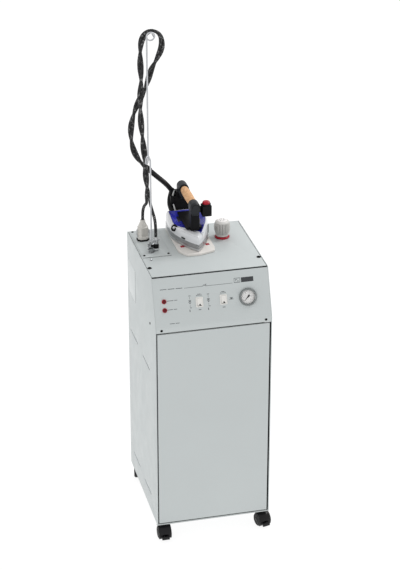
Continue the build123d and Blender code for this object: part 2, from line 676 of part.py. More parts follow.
rod_x, rod_y = MAST_XY
upper_x = rod_x + MAST_SHIFT
eye_x = upper_x + EYE_R + 1
with BuildPart() as mast_rod:
    with BuildLine() as rod_line:
        FilletPolyline(
            (rod_x, rod_y, PLATE_TOP + 4.5),
            (rod_x, rod_y, MAST_BEND_Z),
            (upper_x, rod_y, MAST_JOIN_Z),
            (upper_x, rod_y, TOP_EYE_Z),
            radius=8,
        )
    with BuildSketch(Plane(origin=(rod_x, rod_y, PLATE_TOP + 4.5))):
        Circle(MAST_WIRE_R)
    sweep()
    with Locations(Plane(origin=(eye_x - 1.5, rod_y, TOP_EYE_Z), z_dir=(0, -1, 0))):
        Torus(EYE_R, MAST_WIRE_R - 0.3)
    mid_dir = Vector(-0.5, -0.866, 0)
    mid_centre = Vector(upper_x, rod_y, MID_EYE_Z + 3) + mid_dir * (EYE_R - 0.8)
    with Locations(Plane(origin=mid_centre, z_dir=(0.866, -0.5, 0))):
        Torus(EYE_R, MAST_WIRE_R - 0.3)
    rest_x = eye_x - 1.5 + EYE_R * math.cos(math.radians(20))
    rest_z = TOP_EYE_Z - EYE_R * math.sin(math.radians(20))
    with BuildLine() as rest_line:
        FilletPolyline(
            (rest_x, rod_y, rest_z),
            (rest_x, rod_y + 30, rest_z),
            (rest_x, rod_y + 30, rest_z + 16),
            radius=5,
        )
    with BuildSketch(Plane(origin=(rest_x, rod_y, rest_z), z_dir=(0, 1, 0))):
        Circle(MAST_WIRE_R - 0.5)
    sweep(path=rest_line.wire())
keep("mast_rod", mast_rod.part)

HOSE_START_Z = PLATE_TOP + 44.5
with BuildPart() as outlet_union:
    x, y = OUTLET_XY
    with BuildSketch(Plane.XY.offset(PLATE_TOP)):
        with Locations(OUTLET_XY):
            RegularPolygon(9, 6)
    extrude(amount=8)
    post(x, y, PLATE_TOP + 8, PLATE_TOP + 20, 9.4)
    with BuildSketch(Plane.XY.offset(PLATE_TOP + 20)):
        with Locations(OUTLET_XY):
            RegularPolygon(8, 6)
    extrude(amount=8)
    post(x, y, PLATE_TOP + 28, HOSE_START_Z, 5.5)
keep("outlet_union", outlet_union.part)

with BuildPart() as hose_clamp:
    post(x, y, PLATE_TOP + 31, PLATE_TOP + 40, 6.8)
    fill(x + 5.5, x + 12, y - 4, y + 4, PLATE_TOP + 31.5, PLATE_TOP + 39.5)
    post(x, y, PLATE_TOP + 30, PLATE_TOP + 41, 5.6, mode=Mode.SUBTRACT)
keep("hose_clamp", hose_clamp.part)

with BuildPart() as plug_socket:
    with BuildSketch(Plane.XY.offset(PLATE_TOP)):
        with Locations(PLUG_XY):
            Rectangle(PLUG_SIZE[0] + 5, PLUG_SIZE[1] + 5)
    extrude(amount=4)
    chamfer(plug_socket.edges().filter_by(Axis.Z), length=9)
keep("plug_socket", plug_socket.part)

PLUG_Z = PLATE_TOP + 4
with BuildPart() as plug_body:
    with BuildSketch(Plane.XY.offset(PLUG_Z)):
        with Locations(PLUG_XY):
            Rectangle(*PLUG_SIZE)
    extrude(amount=40)
    chamfer(plug_body.edges().filter_by(Axis.Z), length=8)
    with BuildSketch(Plane.XY.offset(PLUG_Z + 40)):
        with Locations(PLUG_XY):
            Circle(13)
    with BuildSketch(Plane.XY.offset(PLUG_Z + 54)):
        with Locations(PLUG_XY):
            Circle(8.5)
    loft()
    post(*PLUG_XY, PLUG_Z + 54, PLUG_Z + 63, 7.5)
keep("plug_body", plug_body.part)

# ---- steam knob ------------------------------------------------------------------------
with BuildPart() as knob_ring:
    post(*KNOB_XY, TOP_Z, TOP_Z + 6, 23)
    post(*KNOB_XY, TOP_Z - 1, TOP_Z + 7, VALVE_NECK_R + 0.5, mode=Mode.SUBTRACT)
keep("knob_ring", knob_ring.part)

KNOB_Z = TOP_Z + 7.0
with BuildPart() as steam_knob:
    with BuildSketch(Plane(origin=(*KNOB_XY, KNOB_Z), x_dir=(1, 0, 0), z_dir=(0, -1, 0))):
        with BuildLine():
            Line((0, 0), (21, 0))
            ThreePointArc((21, 0), (KNOB_R, 24), (19, 45))
            ThreePointArc((19, 45), (16.5, 49), (12, 50))
            Line((12, 50), (0, 50))
            Line((0, 50), (0, 0))
        make_face()
    revolve(axis=Axis((*KNOB_XY, 0), (0, 0, 1)))
    post(*KNOB_XY, KNOB_Z - 1, TOP_Z + 37, VALVE_STEM_R + RUNNING, mode=Mode.SUBTRACT)
keep("steam_knob", steam_knob.part)

# ---- the pair of cords and its sleeve, point by point ------------------------------------
PAIR_START = Vector(-136.5, 84, 1050)
pair_route = [
    PAIR_START,
    Vector(-142, 70, 1085),
    Vector(-149, 53, 1140),
    Vector(-152.5, 47, 1200),
    Vector(-160, 45, 1270),
    Vector(-165, 45, 1345),
    Vector(-164, 45, 1400),
    Vector(-160.5, 45, 1445),
    Vector(-162.5, 45, 1490),
    Vector(-163, 45, 1535),
    Vector(-158.5, 45, 1568),
    Vector(-147, 45, 1588),
    Vector(-128, 45, 1595),
    Vector(-109, 46, 1588),
    Vector(-98, 47, 1569),
    Vector(-97, 49, 1538),
    Vector(-110, 52, 1508),
    Vector(-128, 57, 1473),
    Vector(-137, 62, 1435),
    Vector(-152, 67, 1394),
    Vector(-174, 70, 1352),
    Vector(-187, 71, 1304),
    Vector(-190, 71, 1258),
    Vector(-182, 71, 1217),
    Vector(-166, 72, 1183),
    Vector(-151, 73, 1166),
    Vector(-131, 76, 1145),
]
sleeve_start_run = (pair_route[-1] - pair_route[-2]) * 0.9
sleeve_route = [
    pair_route[-1],
    pair_route[-1] + sleeve_start_run,
    Vector(-91, 108, 1099),
    Vector(-69, 143, 1070),
    Vector(-49, 178, 1040),
    Vector(-36, 202, 1019),
]
sleeve_end_dir = (sleeve_route[-1] - sleeve_route[-2]).normalized()

# ---- iron on its pad -------------------------------------------------------------------
with BuildPart() as iron_pad:
    with BuildSketch(Plane.XY.offset(TOP_Z)):
        with BuildLine():
            Polyline(
                (-61, 190), (-60, 8), (-40, -25), (0, -28), (49, -11), (54, 12), (54, 190), close=True
            )
        make_face()
    extrude(amount=PAD_T)
    fillet(iron_pad.edges().filter_by(Axis.Z), radius=9)
keep("iron_pad", iron_pad.part)


def iron_outline(inset=0.0):
    """The iron's pointed plan shape, drawn about its own centre line."""
    half = IRON_HALF
    with BuildSketch() as plan:
        with BuildLine():
            ThreePointArc((IRON_X, IRON_TIP_Y), (IRON_X + 0.55 * half, 29), (IRON_X + half, 108))
            ThreePointArc((IRON_X + half, 108), (IRON_X + half, 150), (IRON_X + half - 2, IRON_REAR_Y))
            Line((IRON_X + half - 2, IRON_REAR_Y), (IRON_X - half + 2, IRON_REAR_Y))
            ThreePointArc((IRON_X - half + 2, IRON_REAR_Y), (IRON_X - half, 150), (IRON_X - half, 108))
            ThreePointArc((IRON_X - half, 108), (IRON_X - 0.55 * half, 29), (IRON_X, IRON_TIP_Y))
        make_face()
        if inset:
            offset(amount=-inset, kind=Kind.INTERSECTION)
    return plan.sketch


with BuildPart() as iron_soleplate:
    with BuildSketch(Plane.XY.offset(IRON_Z)):
        add(iron_outline())
    extrude(amount=SOLE_T)
    with BuildSketch(Plane.XY.offset(IRON_Z + SOLE_T)):
        add(iron_outline(14))
    extrude(amount=22)
keep("iron_soleplate", iron_soleplate.part)

SKIRT_Z = IRON_Z + SOLE_T + SEAM
SKIRT_TOP_Z = IRON_Z + SKIRT_TOP
with BuildPart() as iron_body:
    with BuildSketch(Plane.XY.offset(SKIRT_Z)):
        add(iron_outline(0.8))
        add(iron_outline(0.8 + SKIRT_WALL), mode=Mode.SUBTRACT)
    extrude(amount=SKIRT_TOP_Z - SKIRT_Z)
    fill(IRON_X - 90, IRON_X + 90, -60, HOOD_END_Y, IRON_Z, SKIRT_TOP_Z + 1, mode=Mode.SUBTRACT)
keep("iron_body", iron_body.part)

with BuildPart() as nose_hood:
    with BuildSketch(Plane.XY.offset(SKIRT_Z)):
        add(iron_outline(0.8))
    extrude(amount=SKIRT_TOP_Z - SKIRT_Z - 2)
    with BuildSketch(Plane.XY.offset(SKIRT_Z - 1)):
        add(iron_outline(0.8 + SKIRT_WALL))
    extrude(amount=SKIRT_TOP_Z - SKIRT_Z - 14, mode=Mode.SUBTRACT)
    fill(IRON_X - 90, IRON_X + 90, HOOD_END_Y - 0.5, 260, IRON_Z, SKIRT_TOP_Z + 1, mode=Mode.SUBTRACT)
    fill(IRON_X - 90, IRON_X + 90, HOOD_END_Y - 12, 260, SKIRT_TOP_Z - 9, SKIRT_TOP_Z + 1, mode=Mode.SUBTRACT)
    with BuildSketch(Plane.YZ.offset(IRON_X)):
        with BuildLine():
            Polyline(
                (IRON_TIP_Y - 5, SKIRT_TOP_Z - 5),
                (IRON_TIP_Y - 5, SKIRT_TOP_Z + 1),
                (HOOD_END_Y, SKIRT_TOP_Z + 1),
                (HOOD_END_Y, SKIRT_TOP_Z - 2),
                close=True,
            )
        make_face()
    extrude(amount=90, both=True, mode=Mode.SUBTRACT)
keep("nose_hood", nose_hood.part)

SHIELD_Z = SKIRT_TOP_Z + SEAM
SHIELD_T = 3.0
SHIELD_RIM = 8.0
with BuildPart() as heat_shield:
    with BuildSketch(Plane.XY.offset(SHIELD_Z)):
        add(iron_outline(1.5))
    extrude(amount=SHIELD_T + SHIELD_RIM)
    with BuildSketch(Plane.XY.offset(SHIELD_Z + SHIELD_T)):
        add(iron_outline(5.5))
    extrude(amount=SHIELD_RIM + 1, mode=Mode.SUBTRACT)
    fill(IRON_X - 90, IRON_X + 90, -60, SHIELD_FRONT_Y, IRON_Z, SHIELD_Z + 40, mode=Mode.SUBTRACT)
    fill(IRON_X - 30, IRON_X + 30, -60, 260, SHIELD_Z + SHIELD_T, SHIELD_Z + 40, mode=Mode.SUBTRACT)
keep("heat_shield", heat_shield.part)

AXIS_Z = IRON_Z + HANDLE_Z
FRAME_Z = SHIELD_Z + SHIELD_T + SEAM


def handle_axis(y):
    """A plane across the handle at a place along it, facing forward."""
    return Plane(origin=(IRON_X, y, AXIS_Z), x_dir=(1, 0, 0), z_dir=(0, -1, 0))


with BuildPart() as handle_frame:
    for y0, y1 in (CAP_FRONT_Y, CAP_REAR_Y):
        with BuildSketch(handle_axis(y1)):
            Circle(HANDLE_CAP_R)
        extrude(amount=y1 - y0)
    fillet(handle_frame.faces().sort_by(Axis.Y)[0].edges(), radius=6)
    fillet(handle_frame.faces().sort_by(Axis.Y)[-1].edges(), radius=6)
    fill(IRON_X - 24, IRON_X + 24, CAP_FRONT_Y[0] + 20, REAR_POST_Y[1], FRAME_Z, FRAME_Z + 5)
    fill(IRON_X - 13, IRON_X + 13, CAP_FRONT_Y[0] + 8, CAP_FRONT_Y[1] - 4, FRAME_Z, AXIS_Z)
    fill(IRON_X - 22, IRON_X + 22, *REAR_POST_Y, FRAME_Z, AXIS_Z - 12)
    fill(IRON_X - 14, IRON_X + 14, *REAR_POST_Y, AXIS_Z - 13, AXIS_Z)
    with BuildSketch(handle_axis(CAP_REAR_Y[0] + 1)):
        Circle(TIE_ROD_R)
    extrude(amount=CAP_REAR_Y[0] - CAP_FRONT_Y[1] + 2)
    neck_x = IRON_X + 12
    fill(neck_x, SWITCH_BOX[0] - SEAM, 37, 47, IRON_Z + 107, IRON_Z + 123)
    gland = Plane(origin=sleeve_route[-1] + sleeve_end_dir * GLAND_GAP, z_dir=sleeve_end_dir)
    with BuildSketch(gland):
        Circle(SLEEVE_D / 2 + 1.5)
    extrude(amount=12)
    gland_end = gland.origin + sleeve_end_dir * 6
    fill(gland_end.X - 5, IRON_X - 20, gland_end.Y, gland_end.Y + 6, gland_end.Z - 8, gland_end.Z + 2)
    fill(IRON_X - 40, IRON_X - 20, IRON_REAR_Y, REAR_POST_Y[1] - 2, FRAME_Z, IRON_Z + 102)
keep("handle_frame", handle_frame.part)

with BuildPart() as cork_grip:
    cork_y0 = CAP_FRONT_Y[1] + SEAM
    cork_y1 = CAP_REAR_Y[0] - SEAM
    cork_mid = (cork_y0 + cork_y1) / 2
    with BuildSketch(Plane(origin=(IRON_X, 0, AXIS_Z), x_dir=(1, 0, 0), z_dir=(0, 0, 1))):
        with BuildLine():
            Line((TIE_ROD_R + 0.1, cork_y0), (CORK_R - 1.7, cork_y0))
            ThreePointArc((CORK_R - 1.7, cork_y0), (CORK_R, cork_mid), (CORK_R - 1.7, cork_y1))
            Line((CORK_R - 1.7, cork_y1), (TIE_ROD_R + 0.1, cork_y1))
            Line((TIE_ROD_R + 0.1, cork_y1), (TIE_ROD_R + 0.1, cork_y0))
        make_face()
    revolve(axis=Axis((IRON_X, 0, AXIS_Z), (0, 1, 0)))
keep("cork_grip", cork_grip.part)

box_x0, box_x1, box_y0, box_y1, box_z0, box_z1 = SWITCH_BOX
BOX_TOP = IRON_Z + box_z1
BUTTON_XY = ((box_x0 + box_x1) / 2, (box_y0 + box_y1) / 2)
with BuildPart() as switch_box:
    fill(box_x0, box_x1, box_y0, box_y1, IRON_Z + box_z0, BOX_TOP)
    fillet(switch_box.edges().filter_by(Axis.Z), radius=3)
    post(*BUTTON_XY, BOX_TOP, BOX_TOP + 5, BUTTON_R + 2.4)
    post(*BUTTON_XY, BOX_TOP, BOX_TOP + 6, BUTTON_R + 0.3, mode=Mode.SUBTRACT)
    post(*BUTTON_XY, BOX_TOP - 18, BOX_TOP + 1, 3 + RUNNING, mode=Mode.SUBTRACT)
keep("switch_box", switch_box.part)

with BuildPart() as steam_button:
    cap_z = BOX_TOP + BUTTON_TRAVEL + 0.6
    post(*BUTTON_XY, cap_z, cap_z + 9, BUTTON_R)
    fillet(steam_button.edges().filter_by(GeomType.CIRCLE).sort_by(Axis.Z)[-1], radius=1.5)
    post(*BUTTON_XY, BOX_TOP - 12, cap_z + 1, 3)
keep("steam_button", steam_button.part)

# ---- cords as tubes ---------------------------------------------------------------------
lead_side = (pair_route[1] - pair_route[0]).cross(Vector(0, 0, 1)).normalized() * (HOSE_D / 2)
lead_end_dir = (pair_route[1] - pair_route[0]).normalized()
cable_route = [
    Vector(*PLUG_XY, PLUG_Z + 63),
    Vector(*PLUG_XY, 985),
    Vector(-144, 119, 1006),
    Vector(-141.5, 106, 1022),
]
hose_route = [
    Vector(*OUTLET_XY, HOSE_START_Z),
    Vector(*OUTLET_XY, 966),
    Vector(-123, 49, 993),
    Vector(-127, 62, 1014),
]
for route, offset_side in ((cable_route, 1), (hose_route, -1)):
    joined = PAIR_START + lead_side * offset_side
    route.append(joined - lead_end_dir * 20)
    route.append(joined)


def cord(name, points, diameter):
    """A free cord's plain tube: straight runs joined by tangent arcs as large as they allow."""
    runs = [(b - a) for a, b in zip(points, points[1:])]
    radii = []
    for before, after in zip(runs, runs[1:]):
        half_turn = math.radians(before.get_angle(after)) / 2
        radii.append(0.45 * min(before.length, after.length) / math.tan(half_turn))
    with BuildPart() as tube:
        with BuildLine() as line:
            FilletPolyline(*points, radius=radii)
        with BuildSketch(Plane(origin=points[0], z_dir=runs[0])):
            Circle(diameter / 2)
        sweep()
    length = line.wire().length
    ideal = math.pi * diameter**2 / 4 * length
    print(name, "length", round(length), "volume ratio", round(tube.part.volume / ideal, 4))
    print("  runs", [round(r.length) for r in runs])
    print("  radii", [round(r) for r in radii])
    keep(name, tube.part)


cord("cable_lead", cable_route, HOSE_D)
cord("hose_lead", hose_route, HOSE_D)
cord("cord_pair", pair_route, PAIR_D)
cord("cord_sleeve", sleeve_route, SLEEVE_D)
CORDS = ("cable_lead", "hose_lead", "cord_pair", "cord_sleeve", "plug_body")

# ---- to the object's own origin, and out -----------------------------------------------
solid_parts = [part for name, part in parts.items() if name not in CORDS]
whole = Compound(children=[Compound(part.solids()) for part in solid_parts]).bounding_box()
ORIGIN = Vector(whole.center().X, whole.center().Y, whole.min.Z)
print("origin in cabinet coordinates", ORIGIN, "size", whole.size)

if __name__ == "__main__":
    os.makedirs("parts", exist_ok=True)
    for name, part in parts.items():
        placed = Pos(-ORIGIN) * part
        placed.label = name
        export_step(placed, f"parts/{name}.step")
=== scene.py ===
import math

import bmesh
import bpy
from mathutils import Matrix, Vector


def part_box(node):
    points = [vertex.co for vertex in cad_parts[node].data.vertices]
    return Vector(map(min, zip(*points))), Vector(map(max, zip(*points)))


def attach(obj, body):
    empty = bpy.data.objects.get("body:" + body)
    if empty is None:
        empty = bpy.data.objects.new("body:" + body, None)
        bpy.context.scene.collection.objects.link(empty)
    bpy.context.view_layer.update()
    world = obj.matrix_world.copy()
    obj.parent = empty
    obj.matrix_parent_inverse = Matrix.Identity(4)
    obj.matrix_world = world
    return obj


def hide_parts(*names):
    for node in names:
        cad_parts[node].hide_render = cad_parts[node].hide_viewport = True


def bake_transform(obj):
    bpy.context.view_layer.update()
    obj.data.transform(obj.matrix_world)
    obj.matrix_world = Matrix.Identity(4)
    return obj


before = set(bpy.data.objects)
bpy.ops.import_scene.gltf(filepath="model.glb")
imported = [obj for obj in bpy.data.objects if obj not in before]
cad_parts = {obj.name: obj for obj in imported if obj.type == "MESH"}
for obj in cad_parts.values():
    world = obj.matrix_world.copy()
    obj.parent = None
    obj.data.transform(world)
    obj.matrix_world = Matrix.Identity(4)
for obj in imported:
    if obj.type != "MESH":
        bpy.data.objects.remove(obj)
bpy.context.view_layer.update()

MM = 0.001
HALF_WIDTH = 180
HALF_DEPTH = 200
FLOOR_Z = 8
TOP_Z = 895
PLATE_Z = TOP_Z + 1.5
rear_low, rear_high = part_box("rear_panel")
# The cabinet's centre line, in the row frame. Places below are in millimetres from it.
CENTRE = Vector(((rear_low.x + rear_high.x) / 2, rear_high.y - HALF_DEPTH * MM, -FLOOR_Z * MM))


def at(x, y, z):
    """A place in the row frame, given in millimetres from the cabinet's centre line."""
    return Vector((x, y, z)) * MM + CENTRE


# ---- camera ----------------------------------------------------------------------------
CAMERA_DIP = 25.938
CAMERA_TURN = -13.727
camera_data = bpy.data.cameras.new("camera")
camera_data.lens = 120.42
camera_data.sensor_width = 36
camera = bpy.data.objects.new("camera", camera_data)
camera.location = at(-1243.9, -5113.6, 3343.1)
camera.rotation_euler = (math.radians(90 - CAMERA_DIP), 0, math.radians(CAMERA_TURN))
bpy.context.scene.collection.objects.link(camera)
bpy.context.scene.camera = camera


# ---- materials -------------------------------------------------------------------------
def shader_of(material):
    """A material's shader node."""
    return next(n for n in material.node_tree.nodes if n.type == "BSDF_PRINCIPLED")


def new_material(name):
    """A new material, with its node tree and its shader."""
    made = bpy.data.materials.new(name)
    made.use_nodes = True
    tree = made.node_tree
    return made, tree, shader_of(made)


def set_sockets(node, **values):
    """Uniform values on a node's sockets, with _ for each space in a socket's name."""
    for socket, value in values.items():
        node.inputs[socket.replace("_", " ")].default_value = value


def ramp(tree, source, stops):
    """A colour ramp on a value."""
    node = tree.nodes.new("ShaderNodeValToRGB")
    elements = node.color_ramp.elements
    while len(elements) < len(stops):
        elements.new(0.5)
    for element, (position, value) in zip(elements, stops):
        element.position = position
        element.color = (*value, 1.0) if hasattr(value, "__len__") else (value, value, value, 1.0)
    tree.links.new(source, node.inputs["Fac"])
    return node.outputs["Color"]


def noise(tree, coords, scale, detail=4.0, rough=0.5):
    """A noise texture's value."""
    node = tree.nodes.new("ShaderNodeTexNoise")
    set_sockets(node, Scale=scale, Detail=detail, Roughness=rough)
    tree.links.new(coords, node.inputs["Vector"])
    return node.outputs["Fac"]


def object_coords(tree, stretch=(1, 1, 1)):
    """Object coordinates in metres, stretched along an axis where a finish has a direction."""
    coords = tree.nodes.new("ShaderNodeTexCoord")
    mapping = tree.nodes.new("ShaderNodeMapping")
    set_sockets(mapping, Scale=stretch)
    tree.links.new(coords.outputs["Object"], mapping.inputs["Vector"])
    return mapping.outputs["Vector"]


def calculate(tree, operation, *values):
    """A math node's result. Each value is a number or another node's output."""
    node = tree.nodes.new("ShaderNodeMath")
    node.operation = operation
    for socket, value in zip(node.inputs, values):
        if isinstance(value, (int, float)):
            socket.default_value = value
        else:
            tree.links.new(value, socket)
    return node.outputs[0]


def bump(tree, shader, height, distance, strength=1.0):
    """A bump from a height value, added to any bump already there."""
    node = tree.nodes.new("ShaderNodeBump")
    set_sockets(node, Distance=distance, Strength=strength)
    tree.links.new(height, node.inputs["Height"])
    earlier = shader.inputs["Normal"].links
    if earlier:
        tree.links.new(earlier[0].from_socket, node.inputs["Normal"])
    tree.links.new(node.outputs["Normal"], shader.inputs["Normal"])


def shade(color, factor):
    """A colour made darker or lighter."""
    return tuple(min(1.0, max(0.0, c * factor)) for c in color)


def finish(
    name,
    color,
    roughness,
    metallic=0.0,
    vary=0.05,
    blotch=9.0,
    grain=900.0,
    grain_depth=0.00004,
    rough_spread=0.08,
    stretch=(1, 1, 1),
    coat=0.0,
    specular=0.5,
):
    """A painted, plated or moulded finish: faint colour change, uneven gloss and a fine grain."""
    made, tree, shader = new_material(name)
    coords = object_coords(tree, stretch)
    patch = noise(tree, coords, blotch, 5.0, 0.6)
    stops = ((0.3, shade(color, 1 - vary)), (0.7, shade(color, 1 + vary)))
    tree.links.new(ramp(tree, patch, stops), shader.inputs["Base Color"])
    gloss = noise(tree, coords, blotch * 7, 3.0, 0.6)
    low, high = max(0.02, roughness - rough_spread), min(1.0, roughness + rough_spread)
    tree.links.new(ramp(tree, gloss, ((0.3, low), (0.7, high))), shader.inputs["Roughness"])
    bump(tree, shader, noise(tree, coords, grain, 3.0, 0.55), grain_depth)
    set_sockets(shader, Metallic=metallic, Specular_IOR_Level=specular)
    if coat:
        set_sockets(shader, Coat_Weight=coat, Coat_Roughness=0.08)
    return made


PAINT = (0.520, 0.556, 0.557)
POLISHED = {"grain_depth": 0.00001, "rough_spread": 0.05}
paint = finish(
    "powder_coat", PAINT, 0.42, vary=0.015, blotch=3, grain=1500, grain_depth=0.00003, specular=0.4
)
paint_inside = finish("powder_coat_inside", shade(PAINT, 0.85), 0.55, vary=0.03, grain=1300)
zinc = finish("zinc_plate", (0.56, 0.57, 0.58), 0.32, 1.0, vary=0.12, blotch=40, grain=500, rough_spread=0.12)
# Chrome's base colour swings far between dark and light in wide blotches: painted reflections.
chrome = finish(
    "chrome_painted_reflections", (0.34, 0.35, 0.36), 0.12, 1.0, vary=0.85, blotch=95, stretch=(0.5, 0.5, 1.6), **POLISHED
)
gunmetal = finish("gauge_bezel_metal", (0.21, 0.225, 0.225), 0.26, 0.85, vary=0.08, **POLISHED)
rod_metal = finish("mast_wire", (0.50, 0.51, 0.53), 0.32, 0.70, vary=0.06, grain=700, stretch=(1, 1, 0.12))
satin = finish(
    "brushed_sole", (0.52, 0.53, 0.54), 0.30, 1.0, vary=0.06, grain=800, grain_depth=0.00001,
    stretch=(1, 0.04, 1), rough_spread=0.06,
)
brass = finish("nickel_brass", (0.62, 0.58, 0.48), 0.25, 1.0, vary=0.08, grain=600)
boiler_steel = finish("boiler_steel", (0.55, 0.55, 0.56), 0.35, 1.0, vary=0.1, grain=600, stretch=(1, 1, 0.1))
black = finish("moulded_black", (0.005, 0.005, 0.006), 0.46, vary=0.2, grain=1400, specular=0.14)
dark_cap = finish("moulded_charcoal", (0.014, 0.016, 0.020), 0.46, vary=0.15, grain=1600, specular=0.28)
caster_black = finish("caster_nylon", (0.006, 0.006, 0.007), 0.36, vary=0.2, grain=900, specular=0.25)
rubber = finish("soft_rubber", (0.007, 0.007, 0.008), 0.60, vary=0.2, grain=1200, specular=0.2)
tyre = finish(
    "tyre_rubber", (0.010, 0.010, 0.011), 0.52, vary=0.25, grain=700, grain_depth=0.00006, specular=0.25
)
screw_black = finish("black_oxide", (0.005, 0.005, 0.005), 0.50, vary=0.2, grain=900, specular=0.08)
white_switch = finish("switch_white", (0.74, 0.73, 0.70), 0.28, vary=0.02, grain=1200, grain_depth=0.00002)
switch_grey = finish("switch_frame", (0.56, 0.575, 0.57), 0.36, vary=0.03, grain=1400)
plug_grey = finish("plug_grey", (0.56, 0.545, 0.51), 0.42, vary=0.05, grain=1300, grain_depth=0.00005)
knob_white = finish("knob_white", (0.60, 0.59, 0.57), 0.42, vary=0.04, grain=1200)
# Dark grey for the knob's rib valleys: painted shade.
knob_shadow = finish("knob_valley_painted_shade", (0.13, 0.125, 0.12), 0.6, vary=0.04, grain=1200, specular=0.1)
red = finish("red_gloss", (0.36, 0.004, 0.018), 0.30, vary=0.10, grain_depth=0.00002, specular=0.35)
silicone = finish(
    "silicone", (0.72, 0.69, 0.655), 0.52, vary=0.025, grain=700, grain_depth=0.00005, specular=0.35
)
shell_white = finish(
    "iron_lacquer", (0.66, 0.67, 0.69), 0.22, vary=0.012, blotch=6, grain_depth=0.000008,
    rough_spread=0.03, coat=0.4,
)
silver_band = finish(
    "silver_lacquer", (0.30, 0.31, 0.32), 0.30, 0.6, vary=0.08, blotch=14, grain=1000,
    grain_depth=0.000008, rough_spread=0.04, coat=0.3,
)
shield_blue = finish("royal_blue", (0.022, 0.026, 0.36), 0.30, vary=0.12, blotch=25, grain=1300, coat=0.3)
# A near-black navy for the dish's floor: painted shade inside the dish.
dish_shade_navy = finish("dish_painted_shade", (0.008, 0.009, 0.030), 0.45, vary=0.2, grain=1300)
tank_white = finish("tank_plastic", (0.70, 0.72, 0.72), 0.45, vary=0.03, grain=700)
print_dark = finish("panel_print", (0.035, 0.038, 0.042), 0.55, vary=0.1, grain=1200)
print_grey = finish("panel_print_pale", (0.09, 0.10, 0.105), 0.55, vary=0.1, grain=1200)
dial_card = finish("dial_card", (0.86, 0.84, 0.83), 0.50, vary=0.02, grain=1500, grain_depth=0.00002)
label = finish("rating_label", (0.60, 0.635, 0.635), 0.36, vary=0.015, grain=1500, grain_depth=0.00001)


def cork_material():
    """Pressed cork: pale granules with dark pits."""
    made, tree, shader = new_material("cork")
    coords = object_coords(tree)
    base = ramp(
        tree,
        noise(tree, coords, 160, 6.0, 0.7),
        ((0.30, (0.50, 0.25, 0.115)), (0.55, (0.72, 0.42, 0.21)), (0.75, (0.80, 0.52, 0.28))),
    )
    cells = tree.nodes.new("ShaderNodeTexVoronoi")
    set_sockets(cells, Scale=420)
    tree.links.new(coords, cells.inputs["Vector"])
    pits = ramp(tree, cells.outputs["Distance"], ((0.10, 0.35), (0.28, 1.0)))
    mix = tree.nodes.new("ShaderNodeMixRGB")
    mix.blend_type = "MULTIPLY"
    set_sockets(mix, Fac=0.55)
    tree.links.new(base, mix.inputs["Color1"])
    tree.links.new(pits, mix.inputs["Color2"])
    tree.links.new(mix.outputs["Color"], shader.inputs["Base Color"])
    gloss = ramp(tree, noise(tree, coords, 90), ((0.3, 0.55), (0.7, 0.72)))
    tree.links.new(gloss, shader.inputs["Roughness"])
    bump(tree, shader, pits, 0.0003, 0.7)
    bump(tree, shader, noise(tree, coords, 700), 0.0001)
    return made


def braid_material():
    """Black braided textile with pale flecks, laid by the tube's own length and girth."""
    made, tree, shader = new_material("braid")
    uv = tree.nodes.new("ShaderNodeUVMap")
    uv.uv_map = "cord"
    threads_round = 6
    split = tree.nodes.new("ShaderNodeSeparateXYZ")
    tree.links.new(uv.outputs["UV"], split.inputs["Vector"])

    def diagonal(sign):
        """Threads of one hand: a wave along length plus or minus girth."""
        slant = calculate(tree, "MULTIPLY_ADD", split.outputs["Y"], sign, split.outputs["X"])
        return calculate(tree, "SINE", calculate(tree, "MULTIPLY", slant, 2 * math.pi * threads_round))

    weave = calculate(tree, "MAXIMUM", diagonal(1), diagonal(-1))
    crossed = ramp(tree, weave, ((0.45, 0.0), (0.95, 1.0)))
    flecked = ramp(tree, noise(tree, uv.outputs["UV"], 3.4, 2.0), ((0.53, 0.0), (0.66, 1.0)))
    threads = calculate(tree, "MULTIPLY", crossed, flecked)
    color = ramp(tree, threads, ((0.05, (0.007, 0.007, 0.008)), (0.9, (0.34, 0.34, 0.34))))
    tree.links.new(color, shader.inputs["Base Color"])
    tree.links.new(ramp(tree, weave, ((0.0, 0.62), (1.0, 0.78))), shader.inputs["Roughness"])
    set_sockets(shader, Sheen_Weight=0.04)
    bump(tree, shader, weave, 0.0006, 0.8)
    return made


def glass_material():
    """Clear gauge glass."""
    made, tree, shader = new_material("gauge_glass")
    set_sockets(shader, Base_Color=(0.97, 0.98, 0.98, 1), Transmission_Weight=1.0, IOR=1.06)
    coords = object_coords(tree)
    gloss = ramp(tree, noise(tree, coords, 40), ((0.3, 0.02), (0.7, 0.06)))
    tree.links.new(gloss, shader.inputs["Roughness"])
    return made


def lamp_material():
    """A deep red lens, faintly uneven in colour."""
    made, tree, shader = new_material("lamp_red")
    coords = object_coords(tree)
    color = ramp(tree, noise(tree, coords, 120), ((0.3, (0.075, 0.001, 0.003)), (0.7, (0.13, 0.002, 0.006))))
    tree.links.new(color, shader.inputs["Base Color"])
    set_sockets(shader, Roughness=0.30, Specular_IOR_Level=0.25, Coat_Weight=0.05, Coat_Roughness=0.05)
    bump(tree, shader, noise(tree, coords, 900), 0.00006)
    return made


cork = cork_material()
braid = braid_material()
gauge_glass = glass_material()
lamp_red = lamp_material()


# ---- mesh helpers ----------------------------------------------------------------------
def piece_from(name, vertices, faces, made, node=None, body="root", smooth=40.0):
    """A mesh piece in the row frame, riding on a body and standing for a CAD node."""
    mesh = bpy.data.meshes.new(name)
    mesh.from_pydata([tuple(v) for v in vertices], [], faces)
    mesh.validate()
    mesh.materials.append(made)
    obj = bpy.data.objects.new(name, mesh)
    bpy.context.scene.collection.objects.link(obj)
    outward(mesh)
    if smooth:
        smooth_by_angle(mesh, smooth)
    if body:
        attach(obj, body)
    if node:
        stands_for(obj, node)
    return obj


def stands_for(obj, *nodes):
    """A piece shown in place of CAD nodes, which are hidden."""
    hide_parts(*nodes)


def outward(mesh):
    """Turns every face of a closed mesh outward."""
    work = bmesh.new()
    work.from_mesh(mesh)
    bmesh.ops.recalc_face_normals(work, faces=work.faces)
    work.to_mesh(mesh)
    work.free()


